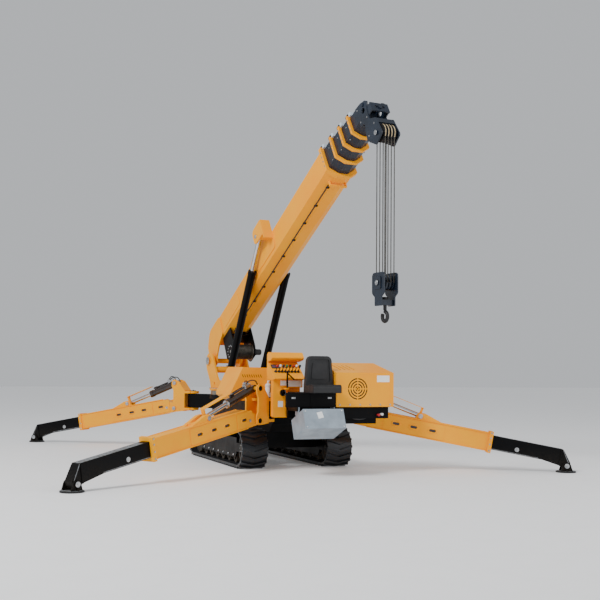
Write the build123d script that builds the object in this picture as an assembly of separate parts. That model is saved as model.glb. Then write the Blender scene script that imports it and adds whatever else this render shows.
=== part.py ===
"""Spider crane: rubber tracks, four folding outriggers, slewing column and a five-section boom.

Millimetres. X runs from the boom's heel to the operator's end, Y to the left of someone who
looks along +X, Z is up. The model is laid out about the middle of the tracks, and the export
at the end moves it so that the origin lies on the ground under the middle of its overall box.
"""
from build123d import *
import os
from math import asin, atan2, cos, degrees, hypot, pi, radians, sin, sqrt

# Tracks
TRACK_CONTACT = 2536
TRACK_RADIUS = 318
TRACK_GAUGE = 1456
TRACK_WIDTH = 430
BELT_THICKNESS = 34
LUG_HEIGHT = 26
LUG_THICKNESS = 34
LUG_SWEEP = 70
LUGS_PER_TRACK = 60
WHEEL_GAP = 0.5
SPROCKET_TEETH = 14
TOOTH_GAP_RADIUS = 27

# Undercarriage
BEAM_WIDTH = 250
BEAM_BOTTOM = 150
BEAM_TOP = 470
ROLLER_RADIUS = 75
ROLLERS_PER_TRACK = 6
AXLE_RADIUS = 30
SKIRT = 12
CROSS_TUBE_X = 750
CROSS_TUBE_HALF = 110

# Chassis
CHASSIS_HALF_WIDTH = 330
CHASSIS_REAR = -2150
CHASSIS_FRONT = 1250
CHASSIS_BOTTOM = 560
DECK_TOP = 1093
SEAT_GAP = 0.3
THIGH_HEIGHT = 270
THIGH_TOP = 1080
THIGH_WIDTH = 200

# Outrigger corners: name, swing axis x and y, azimuth of the arm, distance from pivot to foot pin
CORNERS = [
    ("right_front", 1600, -550, -60.0, 3561),
    ("right_rear", -2672, -566, -133.6, 3410),
    ("left_front", 1600, 550, 63.8, 3455),
    ("left_rear", -2672, 566, 133.6, 3410),
]
SWING_PIN_RADIUS = 42
PIN_OFFSET = 346
ARM_PIVOT_Z = 788
BARREL_PIN_RISE = 498
ROD_PIN_ALONG = 1065
ROD_PIN_RISE = 265
OUTER_ARM_LENGTH = 2244
ARM_WIDTH = 200
ARM_HEIGHT = 280
ARM_BELOW = 66
ARM_ROOT = 60
FLANGE_LIP = 14
PATCH = 8
ARM_WALL = 10
INNER_WIDTH = 150
INNER_HEIGHT = 224
INNER_OVERLAP = 700
FOOT_PIN_DROP = 60
FOOT_PIN_Z = 105
FOOT_RADIUS = 155
FOOT_BOSS = 52
FOOT_PLATE = 22
FOOT_EAR = 95
TOE_LENGTH = 480
TOE_DEPTH = 40
INNER_TRAVEL = 800
TOE_CLEAR = 12
BRACKET_PLATE = 22
BRACKET_GAP = 230
BRACKET_BACK = 118
BRACKET_BOSS = 64
HINGE_CLEAR = 6
PIN_RADIUS = 30
CYL_RADIUS = 62
CYL_ROD_RADIUS = 36
CYL_BARREL_LENGTH = 640
CYL_ROD_START = 500
CYL_EYE_RADIUS = 52
CYL_EYE_WIDTH = 70

# Slewing column
SLEW_X = -1475
SLEW_AZIMUTH = 5.0
SLEW_RING_RADIUS = 540
SLEW_RING_HEIGHT = 75
FLANGE_THICKNESS = 35
COLUMN_HALF_LENGTH_REAR = 620
COLUMN_HALF_LENGTH_FRONT = 400
COLUMN_HALF_WIDTH = 425
CHEEK_INNER = 325
CHEEK_THICKNESS = 35
CHEEK_ROUND = 146
CHEEK_FRONT_TOP = 1358

# Boom
HEEL_X = -664
HEEL_Z = 1727
LUFF = 30.7
HEEL_PIN_RADIUS = 48
BASE_END = 5461
BASE_WIDTH = 485
BASE_HEIGHT = 497
BASE_UNDERSIDE = 118
CHAMFER_ACROSS = 154
CHAMFER_UP = 108
BOOM_WALL = 8
SECTION_STEP = 42
SLIDE_CLEAR = 0.5
COLLAR_LENGTH = 70
COLLAR_RIM = 30
# Telescoping sections: name, rear end, front end, both from the heel pin
SECTIONS = [
    ("boom_section_2", 640, 5745),
    ("boom_section_3", 720, 6005),
    ("boom_section_4", 800, 6260),
    ("boom_section_5", 880, 6440),
]
SHEAVE_RADIUS = 135
SHEAVE_THICKNESS = 34
SHEAVE_COUNT = 4
SHEAVE_PITCH = 52
GROOVE_DEPTH = 22
GROOVE_HALF = 11
HEAD_AXLE_S = 6735
HEAD_AXLE_T = -185
ROOT_PLATE = 26
HEEL_ROUND = 128
DOUBLER = 7
NOSE = 350
NOSE_HOLE_Y = 62

# Lift cylinders
LIFT_FOOT_X = 212
LIFT_FOOT_Z = 1300
VALVES = 5
LIFT_PIN_S = 3037
LIFT_PIN_T = 706
LIFT_HALF_SPACING = 336
LIFT_BARREL_RADIUS = 68
LIFT_ROD_RADIUS = 44
LIFT_BARREL_LENGTH = 2283
LIFT_EYE_RADIUS = 62
LIFT_EYE_WIDTH = 86
LUG_GAP = 6

# Winch
WINCH_S = 700
WINCH_T = -215
DRUM_RADIUS = 125
DRUM_FLANGE_RADIUS = 165
DRUM_HALF_LENGTH = 190
WINCH_PLATE = 18

# Hook
HOOK_BLOCK_TOP_Z = 2985
HOOK_BLOCK_HEIGHT = 480
HOOK_BLOCK_WIDTH = 240
HOOK_BLOCK_LENGTH = 330
BLOCK_SHEAVE_RADIUS = 105
HOOK_DROP = 150
HOOK_BOW = 68
HOOK_BAR = 27
ROPE_RADIUS = 7

# Front module
COVER_REAR = 2030
COVER_FRONT = 2750
COVER_LEFT = 132
COVER_RIGHT = 1096
CARRIER_TOP = 1028
COVER_FRONT_TOP = 1545
COVER_REAR_TOP = 1695
SHEET = 12
GRILLE_Y = 489
GRILLE_Z = 1301
GRILLE_RADIUS = 162
GRILLE_RINGS = 4
TRAY_BOTTOM = 770
TRAY_LEFT = 215
CARRIER_HALF = 175
CARRIER_LEFT = -640
CROSS_BEAM_FRONT = 2300
SEAT_Y = -112
SEAT_WIDTH = 450
SEAT_BACK_X = 2640
SEAT_TOP = 1790
SEAT_DEPTH = 360
CUSHION_TOP = 1372
BASE_REAR = 2150
BASE_FRONT = 2760
BASE_LEFT = -670
BASE_RIGHT = 122
BASE_TOP = 1242
HOUSING_FRONT = 1300
LEG_FRONT = 1970
LAMP_Y = -446
LAMP_Z = 1222
BOTTLE_Y = -452
BOTTLE_RADIUS = 44
PANEL_FRONT = 2080
PANEL_LOW = 1440
PANEL_BACK = 1720
PANEL_HIGH = 1700
POST_RADIUS = 13
POST_X = PANEL_FRONT + POST_RADIUS + SEAT_GAP
POST_Y = -404
POST_BOTTOM = 1300
POST_TOP = 1548
FOOT_BOX_X = 2960
FOOT_BOX_Z = 1012
FOOT_BOX_TILT = 22
FOOT_BOX_Y = -165
FOOT_BOX_WIDTH = 645
FOOT_BOX_HEIGHT = 300
FOOT_BOX_DEPTH = 500
HANGER = 14
HANGER_INSET = 20
HANGER_LENGTH = 140


def block(x0, x1, y0, y1, z0, z1):
    """Box from its limits."""
    return Pos((x0 + x1) / 2, (y0 + y1) / 2, (z0 + z1) / 2) * Box(x1 - x0, y1 - y0, z1 - z0)


def outline(points):
    """Closed face; a point's third number is the radius that rounds its corner."""
    corners = [point[:2] for point in points]
    radii = [point[2] if len(point) > 2 else 0 for point in points]
    if any(radii):
        return make_face(FilletPolyline(*corners, radius=radii, close=True))
    return make_face(Polyline(*corners, close=True))


def plate_xz(points, y0, y1):
    """Plate with an XZ outline, from y0 to y1."""
    return extrude(Plane.XZ.offset(-y0) * outline(points), amount=y1 - y0, dir=(0, 1, 0))


def plate_xy(points, z0, z1):
    """Plate with an XY outline, from z0 to z1."""
    return extrude(Plane.XY.offset(z0) * outline(points), amount=z1 - z0, dir=(0, 0, 1))


def plate_yz(points, x0, x1):
    """Plate with a YZ outline, from x0 to x1."""
    return extrude(Plane.YZ.offset(x0) * outline(points), amount=x1 - x0, dir=(1, 0, 0))


def rod_y(x, z, radius, y0, y1):
    """Round bar along Y."""
    return Pos(x, (y0 + y1) / 2, z) * Rot(90, 0, 0) * Cylinder(radius, abs(y1 - y0))


def rod_x(y, z, radius, x0, x1):
    """Round bar along X."""
    return Pos((x0 + x1) / 2, y, z) * Rot(0, 90, 0) * Cylinder(radius, x1 - x0)


def rod_z(x, y, radius, z0, z1):
    """Round bar along Z."""
    return Pos(x, y, (z0 + z1) / 2) * Cylinder(radius, z1 - z0)


def mirrored(shape):
    """The shape and its mirror image across the XZ plane."""
    return [shape, mirror(shape, Plane.XZ)]


# Undercarriage

WHEEL_RADIUS = TRACK_RADIUS - LUG_HEIGHT - BELT_THICKNESS - WHEEL_GAP
ROLLER_Z = LUG_HEIGHT + BELT_THICKNESS + ROLLER_RADIUS + WHEEL_GAP


def loop_face(radius):
    """Stadium outline of the track at a given radius, in the XZ plane."""
    return Plane.XZ * SlotCenterToCenter(TRACK_CONTACT, 2 * radius)


def track(side):
    """Rubber belt with chevron lugs moulded on its outer face."""
    outer = TRACK_RADIUS - LUG_HEIGHT
    belt = extrude(loop_face(outer), amount=TRACK_WIDTH / 2, both=True)
    belt -= extrude(loop_face(outer - BELT_THICKNESS), amount=TRACK_WIDTH, both=True)
    half = TRACK_WIDTH / 2
    chevron = plate_xy(
        [
            (-LUG_SWEEP / 2, -half),
            (LUG_SWEEP / 2, 0),
            (-LUG_SWEEP / 2, half),
            (-LUG_SWEEP / 2 + LUG_THICKNESS, half),
            (LUG_SWEEP / 2 + LUG_THICKNESS, 0),
            (-LUG_SWEEP / 2 + LUG_THICKNESS, -half),
        ],
        -6,
        LUG_HEIGHT,
    )
    straight = TRACK_CONTACT
    arc = pi * outer
    pitch = 2 * (straight + arc) / LUGS_PER_TRACK
    lugs = []
    for index in range(LUGS_PER_TRACK):
        along = index * pitch
        if along < straight:
            place = Pos(-straight / 2 + along, 0, outer)
        elif along < straight + arc:
            turn = (along - straight) / outer
            place = Pos(straight / 2, 0, 0) * Rot(0, degrees(turn), 0) * Pos(0, 0, outer)
        elif along < 2 * straight + arc:
            place = Pos(straight / 2 - (along - straight - arc), 0, -outer) * Rot(0, 180, 0)
        else:
            turn = (along - 2 * straight - arc) / outer
            place = Pos(-straight / 2, 0, 0) * Rot(0, 180 + degrees(turn), 0) * Pos(0, 0, outer)
        lugs.append(place * chevron)
    return Pos(0, side * TRACK_GAUGE / 2, TRACK_RADIUS) * (belt.fuse(*lugs))


def track_beam(side):
    """Side beam that carries the wheels of one track."""
    y = side * TRACK_GAUGE / 2
    half = BEAM_WIDTH / 2
    reach = TRACK_CONTACT / 2
    nose = WHEEL_RADIUS + 20
    beam = plate_xz(
        [
            (-reach + nose + 60, BEAM_BOTTOM),
            (reach - nose - 60, BEAM_BOTTOM),
            (reach - nose, BEAM_BOTTOM + 70),
            (reach - nose, BEAM_TOP),
            (-reach + nose, BEAM_TOP),
            (-reach + nose, BEAM_BOTTOM + 70),
        ],
        y - half,
        y + half,
    )
    skirt = half - SKIRT
    beam -= block(-reach, reach, y - skirt, y + skirt, BEAM_BOTTOM - 10, ROLLER_Z + ROLLER_RADIUS + 8)
    for end in (-1, 1):
        for cheek in (-1, 1):
            face = y + cheek * (half - 15)
            arm = block(
                min(end * (reach - nose - 1), end * (reach + 70)),
                max(end * (reach - nose - 1), end * (reach + 70)),
                face - 15,
                face + 15,
                TRACK_RADIUS - 70,
                TRACK_RADIUS + 70,
            )
            arm -= rod_y(end * reach, TRACK_RADIUS, AXLE_RADIUS, face - 20, face + 20)
            beam += arm
    inner = side * (TRACK_GAUGE / 2 - half)
    frame = side * CHASSIS_HALF_WIDTH
    for x in (-CROSS_TUBE_X, CROSS_TUBE_X):
        x0, x1 = x - CROSS_TUBE_HALF, x + CROSS_TUBE_HALF
        beam += block(x0, x1, min(inner, frame), max(inner, frame), BEAM_BOTTOM + 130, BEAM_TOP)
    return beam


def running_gear():
    """Sprockets, idlers and rollers, each on its own short axle."""
    pieces = []
    gap_half = BEAM_WIDTH / 2 - 31
    for side in (-1, 1):
        y = side * TRACK_GAUGE / 2
        for end in (-1, 1):
            x = end * TRACK_CONTACT / 2
            wheel = rod_y(x, TRACK_RADIUS, WHEEL_RADIUS, y - gap_half, y + gap_half)
            wheel += rod_y(x, TRACK_RADIUS, AXLE_RADIUS - 0.3, y - BEAM_WIDTH / 2 - 12, y + BEAM_WIDTH / 2 + 12)
            for cheek in (-1, 1):
                groove = rod_y(x, TRACK_RADIUS, WHEEL_RADIUS - 45, y + cheek * (gap_half - 12), y + cheek * 200)
                groove -= rod_y(x, TRACK_RADIUS, 85, y - 300, y + 300)
                wheel -= groove
            if end < 0:
                rim = PolarLocations(WHEEL_RADIUS + TOOTH_GAP_RADIUS / 3, SPROCKET_TEETH)
                gaps = [place * Cylinder(TOOTH_GAP_RADIUS, 2 * gap_half + 4) for place in rim]
                wheel = wheel.cut(*[Pos(x, y, TRACK_RADIUS) * Rot(90, 0, 0) * gap for gap in gaps])
            pieces.append(wheel)
        reach = TRACK_CONTACT / 2 - WHEEL_RADIUS - ROLLER_RADIUS - 90
        stub = BEAM_WIDTH / 2 - SKIRT - 0.3
        for index in range(ROLLERS_PER_TRACK):
            x = -reach + 2 * reach * index / (ROLLERS_PER_TRACK - 1)
            roller = rod_y(x, ROLLER_Z, ROLLER_RADIUS, y - 90, y + 90)
            roller += rod_y(x, ROLLER_Z, 24, y - stub, y + stub)
            pieces.append(roller)
    return pieces


# Chassis


def thigh(x, y, inner_x):
    """Box beam from the chassis out to one swing hinge, with the hinge eye at its end."""
    inner_y = 0.18 * y
    length = hypot(x - inner_x, y - inner_y)
    turn = degrees(atan2(y - inner_y, x - inner_x))
    z0 = THIGH_TOP - THIGH_HEIGHT
    beam = block(0, length, -THIGH_WIDTH / 2, THIGH_WIDTH / 2, z0, THIGH_TOP)
    beam = Pos(inner_x, inner_y, 0) * Rot(0, 0, turn) * beam
    eye = rod_z(x, y, THIGH_WIDTH / 2, z0, THIGH_TOP)
    return (beam + eye) - rod_z(x, y, SWING_PIN_RADIUS + 0.3, z0 - 10, THIGH_TOP + 10)


def main_frame():
    """Central box, the pedestal under the slew ring and the four thighs."""
    w = CHASSIS_HALF_WIDTH
    frame = plate_xz(
        [
            (CHASSIS_REAR, 760),
            (CHASSIS_REAR + 260, CHASSIS_BOTTOM),
            (CHASSIS_FRONT - 160, CHASSIS_BOTTOM),
            (CHASSIS_FRONT, 700),
            (CHASSIS_FRONT, THIGH_TOP),
            (CHASSIS_REAR, THIGH_TOP),
        ],
        -w,
        w,
    )
    for x in (-CROSS_TUBE_X, CROSS_TUBE_X):
        x0, x1 = x - CROSS_TUBE_HALF, x + CROSS_TUBE_HALF
        frame += block(x0, x1, -w, w, BEAM_BOTTOM + 130, CHASSIS_BOTTOM + 20)
    frame += rod_z(SLEW_X, 0, SLEW_RING_RADIUS + 20, THIGH_TOP - 60, DECK_TOP)
    for _, x, y, _, _ in CORNERS:
        frame += thigh(x, y, x - 650 if x > 0 else x + 620)
    return frame


def front_subframe():
    """Black carrier ahead of the front hinges, with the tray under the engine."""
    top = CARRIER_TOP
    carrier = block(CHASSIS_FRONT, COVER_REAR + 10, -CARRIER_HALF, CARRIER_HALF, TRAY_BOTTOM + 30, 985)
    carrier += block(COVER_REAR, CROSS_BEAM_FRONT, CARRIER_LEFT, COVER_RIGHT - 60, TRAY_BOTTOM + 80, top)
    carrier += block(CROSS_BEAM_FRONT - 5, COVER_FRONT - 60, TRAY_LEFT, COVER_RIGHT - 60, TRAY_BOTTOM + 80, top)
    carrier += block(CROSS_BEAM_FRONT, COVER_FRONT - 120, TRAY_LEFT, COVER_RIGHT - 240, TRAY_BOTTOM, TRAY_BOTTOM + 90)
    for y in (-600, -200):
        carrier += block(CROSS_BEAM_FRONT - 5, BASE_FRONT - 30, y - 30, y + 30, top - 60, top)
    return carrier


def engine_cover():
    """Sheet housing over the engine: sloping roof, cut grille rings and roof louvres."""
    def outer(inset):
        return plate_xz(
            [
                (COVER_REAR + inset, CARRIER_TOP + SEAT_GAP),
                (COVER_FRONT - inset, CARRIER_TOP + SEAT_GAP),
                (COVER_FRONT - inset, COVER_FRONT_TOP - inset),
                (COVER_REAR + inset, COVER_REAR_TOP - inset),
            ],
            COVER_LEFT + inset,
            COVER_RIGHT - inset,
        )

    shell = outer(0) - Pos(0, 0, -1) * outer(SHEET) - outer(SHEET)
    face_x = COVER_FRONT - SHEET / 2
    pitch = GRILLE_RADIUS / GRILLE_RINGS
    cuts = Pos(face_x, GRILLE_Y, GRILLE_Z) * Rot(0, 90, 0) * Cylinder(0.32 * pitch, 4 * SHEET)
    for ring in range(1, GRILLE_RINGS + 1):
        radius = ring * pitch
        band = Cylinder(radius, 4 * SHEET) - Cylinder(radius - 0.45 * pitch, 4 * SHEET)
        spoke = 0.2 * pitch
        band -= Box(2 * radius + 4, 2 * spoke, 5 * SHEET) + Box(2 * spoke, 2 * radius + 4, 5 * SHEET)
        cuts += Pos(face_x, GRILLE_Y, GRILLE_Z) * Rot(0, 90, 0) * band
    shell -= cuts
    roof_mid = (COVER_FRONT_TOP + COVER_REAR_TOP) / 2
    mid_x = (COVER_FRONT + COVER_REAR) / 2
    for index in range(4):
        y = COVER_LEFT + 150 + 75 * index
        shell -= block(mid_x - 170, mid_x + 170, y, y + 24, roof_mid - 90, roof_mid + 90)
    return shell


def engine():
    """Engine as one plain block on the carrier."""
    return block(COVER_REAR + 120, COVER_FRONT - 120, COVER_LEFT + 120, COVER_RIGHT - 170, CARRIER_TOP, 1440)


def side_housing():
    """Hydraulic tank housing over the right track, with slanted slots in its front."""
    front, rear = HOUSING_FRONT, 500
    wall = -CHASSIS_HALF_WIDTH
    outline = [
        (wall, THIGH_TOP + SEAT_GAP),
        (-940, THIGH_TOP + SEAT_GAP),
        (-1060, 1160),
        (-1057, 1215),
        (-862, 1614),
        (wall, 1606),
    ]
    shell = plate_yz(outline, rear, front)
    inner = [
        (wall - SHEET, THIGH_TOP + SHEET),
        (-930, THIGH_TOP + SHEET),
        (-1042, 1166),
        (-1042, 1212),
        (-854, 1614 - SHEET),
        (wall - SHEET, 1606 - SHEET),
    ]
    shell -= plate_yz(inner, rear + SHEET, front - SHEET)
    for index in range(9):
        y = -860 + 38 * index
        slot = Pos(front, y, 1472) * Rot(24, 0, 0) * Box(3 * SHEET, 12, 52)
        shell -= slot
    return shell + block(rear, front, wall - SHEET, wall + 120, THIGH_TOP + SEAT_GAP, THIGH_TOP + SHEET)


def console():
    """Control console with a sloping lever panel by the right front hinge."""
    left, right = -600, -100
    body = plate_xz(
        [
            (1310, 1420),
            (LEG_FRONT, 1420),
            (PANEL_FRONT, PANEL_LOW),
            (PANEL_BACK, PANEL_HIGH),
            (1310, PANEL_HIGH),
        ],
        left,
        right,
    )
    leg = [(-685, 840, 20), (-372, 840, 20), (-372, 1425), (-685, 1425)]
    body += plate_yz(leg, LEG_FRONT - 110, LEG_FRONT)
    body += block(LEG_FRONT - 110, LEG_FRONT, -380, -CARRIER_HALF - SEAT_GAP, 840, 980)
    body += block(1310, LEG_FRONT - 110, -300, right, THIGH_TOP + SEAT_GAP, 1425)
    body += block(1700, LEG_FRONT - 110, -CARRIER_HALF, right, 985 + SEAT_GAP, THIGH_TOP + 10)
    body += block(LEG_FRONT - 5, POST_X + 16, POST_Y - 20, POST_Y + 20, POST_BOTTOM - 24, POST_BOTTOM - SEAT_GAP)
    return body


def console_hood():
    """Lid over the lever panel: a folded canopy with a recessed front strip."""
    left, right = -600, -60
    lid = plate_xz(
        [
            (1310, PANEL_HIGH + SEAT_GAP),
            (PANEL_BACK, PANEL_HIGH + SEAT_GAP),
            (1880, 1728, 10),
            (1925, 1765, 10),
            (1850, 1850, 30),
            (1420, 1850, 60),
            (1310, 1780, 40),
        ],
        left,
        right,
    )
    slope = degrees(atan2(85, 75))
    strip = Pos(1888, (left + right) / 2, 1808) * Rot(0, slope, 0) * Box(60, right - left - 70, 12)
    return lid - strip


def brace_post():
    """Black post beside the levers with its diagonal brace, on the console's front leg."""
    x = POST_X
    post = rod_z(x, POST_Y, POST_RADIUS, POST_BOTTOM, POST_TOP)
    post += Pos(x, POST_Y, POST_TOP) * Sphere(POST_RADIUS)
    run_y, run_z = 112, PANEL_LOW - 10 - (POST_TOP - 20)
    length = hypot(run_y, run_z)
    angle = degrees(atan2(run_y, run_z))
    brace = Rot(-angle, 0, 0) * Pos(0, 0, length / 2) * Cylinder(POST_RADIUS - 3, length)
    post += Pos(x, POST_Y, POST_TOP - 20) * brace
    return post + Pos(x, POST_Y + run_y, POST_TOP - 20 + run_z) * Sphere(POST_RADIUS - 3)


def work_lamp():
    """Round lamp with a rim on the front of the console's leg."""
    body = Cylinder(46, 40) + Pos(0, 0, 26) * Cylinder(52, 14)
    body -= Pos(0, 0, 32) * Cylinder(44, 10)
    return Pos(LEG_FRONT + SEAT_GAP + 20, LAMP_Y, LAMP_Z) * Rot(0, 90, 0) * body


def extinguisher():
    """Bottle with a domed shoulder and a valve, strapped to the front of the tank housing."""
    x = HOUSING_FRONT + SEAT_GAP + BOTTLE_RADIUS + 8
    z0 = THIGH_TOP + 55
    bottle = rod_z(x, BOTTLE_Y, BOTTLE_RADIUS, z0, z0 + 220)
    bottle = fillet(bottle.edges().filter_by(GeomType.CIRCLE).sort_by(Axis.Z)[-1], BOTTLE_RADIUS * 0.7)
    bottle += rod_z(x, BOTTLE_Y, 14, z0 + 215, z0 + 262)
    bottle += block(x - 12, x + 60, BOTTLE_Y - 9, BOTTLE_Y + 9, z0 + 250, z0 + 268)
    for z in (z0 + 50, z0 + 165):
        strap = rod_z(x, BOTTLE_Y, BOTTLE_RADIUS + 4, z, z + 22)
        strap += block(HOUSING_FRONT + SEAT_GAP, x, BOTTLE_Y - 26, BOTTLE_Y + 26, z, z + 22)
        bottle += strap
    return bottle


def control_levers():
    """Row of lever stalks that stand on the sloping panel."""
    pieces = []
    slope = degrees(atan2(PANEL_HIGH - PANEL_LOW, PANEL_FRONT - PANEL_BACK))
    x = 0.4 * PANEL_BACK + 0.6 * PANEL_FRONT
    z = 0.4 * PANEL_HIGH + 0.6 * PANEL_LOW
    place = Pos(x, -350, z) * Rot(0, slope, 0) * Pos(0, 0, SEAT_GAP)
    for index in range(8):
        y = -190 + 54 * index
        stalk = Pos(0, y, 10) * Cylinder(20, 20) + Pos(0, y, 55) * Cylinder(7, 90)
        stalk += Pos(0, y, 106) * Cylinder(15, 34)
        pieces.append(place * stalk)
    return pieces


def seat_base():
    """Black pedestal under the seat."""
    bottom = CARRIER_TOP + SEAT_GAP
    base = block(BASE_REAR, BASE_FRONT, BASE_LEFT, BASE_RIGHT, bottom, BASE_TOP)
    base -= block(BASE_REAR + 30, BASE_FRONT - 20, BASE_LEFT + 20, BASE_RIGHT - 20, bottom - 5, BASE_TOP - 20)
    rib_y = (BASE_LEFT + BASE_RIGHT) / 2
    base += block(BASE_REAR + 20, BASE_FRONT + 6, rib_y - 14, rib_y + 14, bottom, BASE_TOP - 10)
    return base


def seat():
    """Moulded seat: cushion with a rolled front, and a tapered back with a raised rim and centre panel."""
    half = SEAT_WIDTH / 2
    front = SEAT_BACK_X + SEAT_DEPTH
    cushion = plate_xz(
        [
            (SEAT_BACK_X - 40, BASE_TOP + SEAT_GAP),
            (front, BASE_TOP + SEAT_GAP, 20),
            (front, CUSHION_TOP, 50),
            (SEAT_BACK_X + 80, CUSHION_TOP - 30, 200),
            (SEAT_BACK_X - 40, CUSHION_TOP),
        ],
        SEAT_Y - half,
        SEAT_Y + half,
    )
    back = Plane.YZ.offset(SEAT_BACK_X - 45) * outline(
        [
            (SEAT_Y - half, CUSHION_TOP - 60, 20),
            (SEAT_Y + half, CUSHION_TOP - 60, 20),
            (SEAT_Y + half - 36, SEAT_TOP, 80),
            (SEAT_Y - half + 36, SEAT_TOP, 80),
        ]
    )
    shell = extrude(back, amount=90, dir=(1, 0, 0))
    frames = []
    for inset in (46, 92):
        frames.append(
            [
                (SEAT_Y - half + inset, CUSHION_TOP + inset - 20, 30),
                (SEAT_Y + half - inset, CUSHION_TOP + inset - 20, 30),
                (SEAT_Y + half - inset - 24, SEAT_TOP - inset, 30),
                (SEAT_Y - half + inset + 24, SEAT_TOP - inset, 30),
            ]
        )
    shell -= plate_yz(frames[0], SEAT_BACK_X + 30, SEAT_BACK_X + 60)
    shell += plate_yz(frames[1], SEAT_BACK_X + 28, SEAT_BACK_X + 42)
    return cushion + shell


def foot_box():
    """Folded foot box, hung ahead of the seat base and tilted."""
    half = FOOT_BOX_WIDTH / 2
    box = block(-FOOT_BOX_DEPTH, 0, -half, half, -FOOT_BOX_HEIGHT, 0)
    box = Pos(FOOT_BOX_X, FOOT_BOX_Y, FOOT_BOX_Z) * Rot(0, -FOOT_BOX_TILT, 0) * box
    for y in (FOOT_BOX_Y - half + HANGER_INSET, BASE_RIGHT - HANGER_INSET):
        hanger = block(BASE_FRONT - HANGER_LENGTH, BASE_FRONT, y - HANGER / 2, y + HANGER / 2, 900, CARRIER_TOP)
        box += hanger
    return box


# Outriggers


def corner_slope(reach):
    """Downward slope of an arm in degrees, from the height of its foot pin."""
    return degrees(asin((ARM_PIVOT_Z - FOOT_PIN_Z - FOOT_PIN_DROP) / reach))


def hinge_place(x, y, azimuth):
    return Pos(x, y, 0) * Rot(0, 0, azimuth)


def bracket():
    """Swinging bracket in its own frame: two cheeks, and the clevis round the thigh's end."""
    z_low = THIGH_TOP - THIGH_HEIGHT - HINGE_CLEAR
    z_high = THIGH_TOP + HINGE_CLEAR
    pin_top = ARM_PIVOT_Z + BARREL_PIN_RISE
    boss = BRACKET_BOSS
    shape = [
        (BRACKET_BACK, z_low - 60),
        (BRACKET_BACK, z_high + 50),
        (PIN_OFFSET - boss - 26, pin_top + 34, 40),
        (PIN_OFFSET - 20, pin_top + boss, 40),
        (PIN_OFFSET + boss, pin_top + boss, boss - 2),
        (PIN_OFFSET + boss, pin_top - boss, 60),
        (PIN_OFFSET + 26, pin_top - 150, 80),
        (PIN_OFFSET + 26, ARM_PIVOT_Z + 130, 80),
        (PIN_OFFSET + boss, ARM_PIVOT_Z + 70, 50),
        (PIN_OFFSET + boss, ARM_PIVOT_Z - boss, boss - 2),
        (PIN_OFFSET - boss - 10, ARM_PIVOT_Z - boss, 50),
    ]
    half = BRACKET_GAP / 2
    cheek = plate_xz(shape, half, half + BRACKET_PLATE)
    body = cheek + mirror(cheek, Plane.XZ)
    for z0, z1 in ((z_low - 45, z_low), (z_high, z_high + 45)):
        wing = block(0, PIN_OFFSET - 110, -half - BRACKET_PLATE, half + BRACKET_PLATE, z0, z1)
        wing += rod_z(0, 0, half, z0, z1)
        body += wing
    body += block(BRACKET_BACK, BRACKET_BACK + BRACKET_PLATE, -half, half, z_low, z_high)
    body += plate_xz([(BRACKET_BACK, z_high + 40), (BRACKET_BACK, z_high + 60), (PIN_OFFSET - boss - 30, pin_top + 20), (PIN_OFFSET - boss - 8, pin_top + 8)], -half, half)
    body += rod_z(0, 0, SWING_PIN_RADIUS, z_low - 45, z_high + 45)
    for z in (ARM_PIVOT_Z, pin_top):
        for pin in mirrored(rod_y(PIN_OFFSET, z, PIN_RADIUS + 14, half + BRACKET_PLATE, half + BRACKET_PLATE + 12)):
            body += pin
    body += rod_y(PIN_OFFSET, ARM_PIVOT_Z, PIN_RADIUS, -half, half)
    body += rod_y(PIN_OFFSET, pin_top, PIN_RADIUS, -half, half)
    return body


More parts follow.
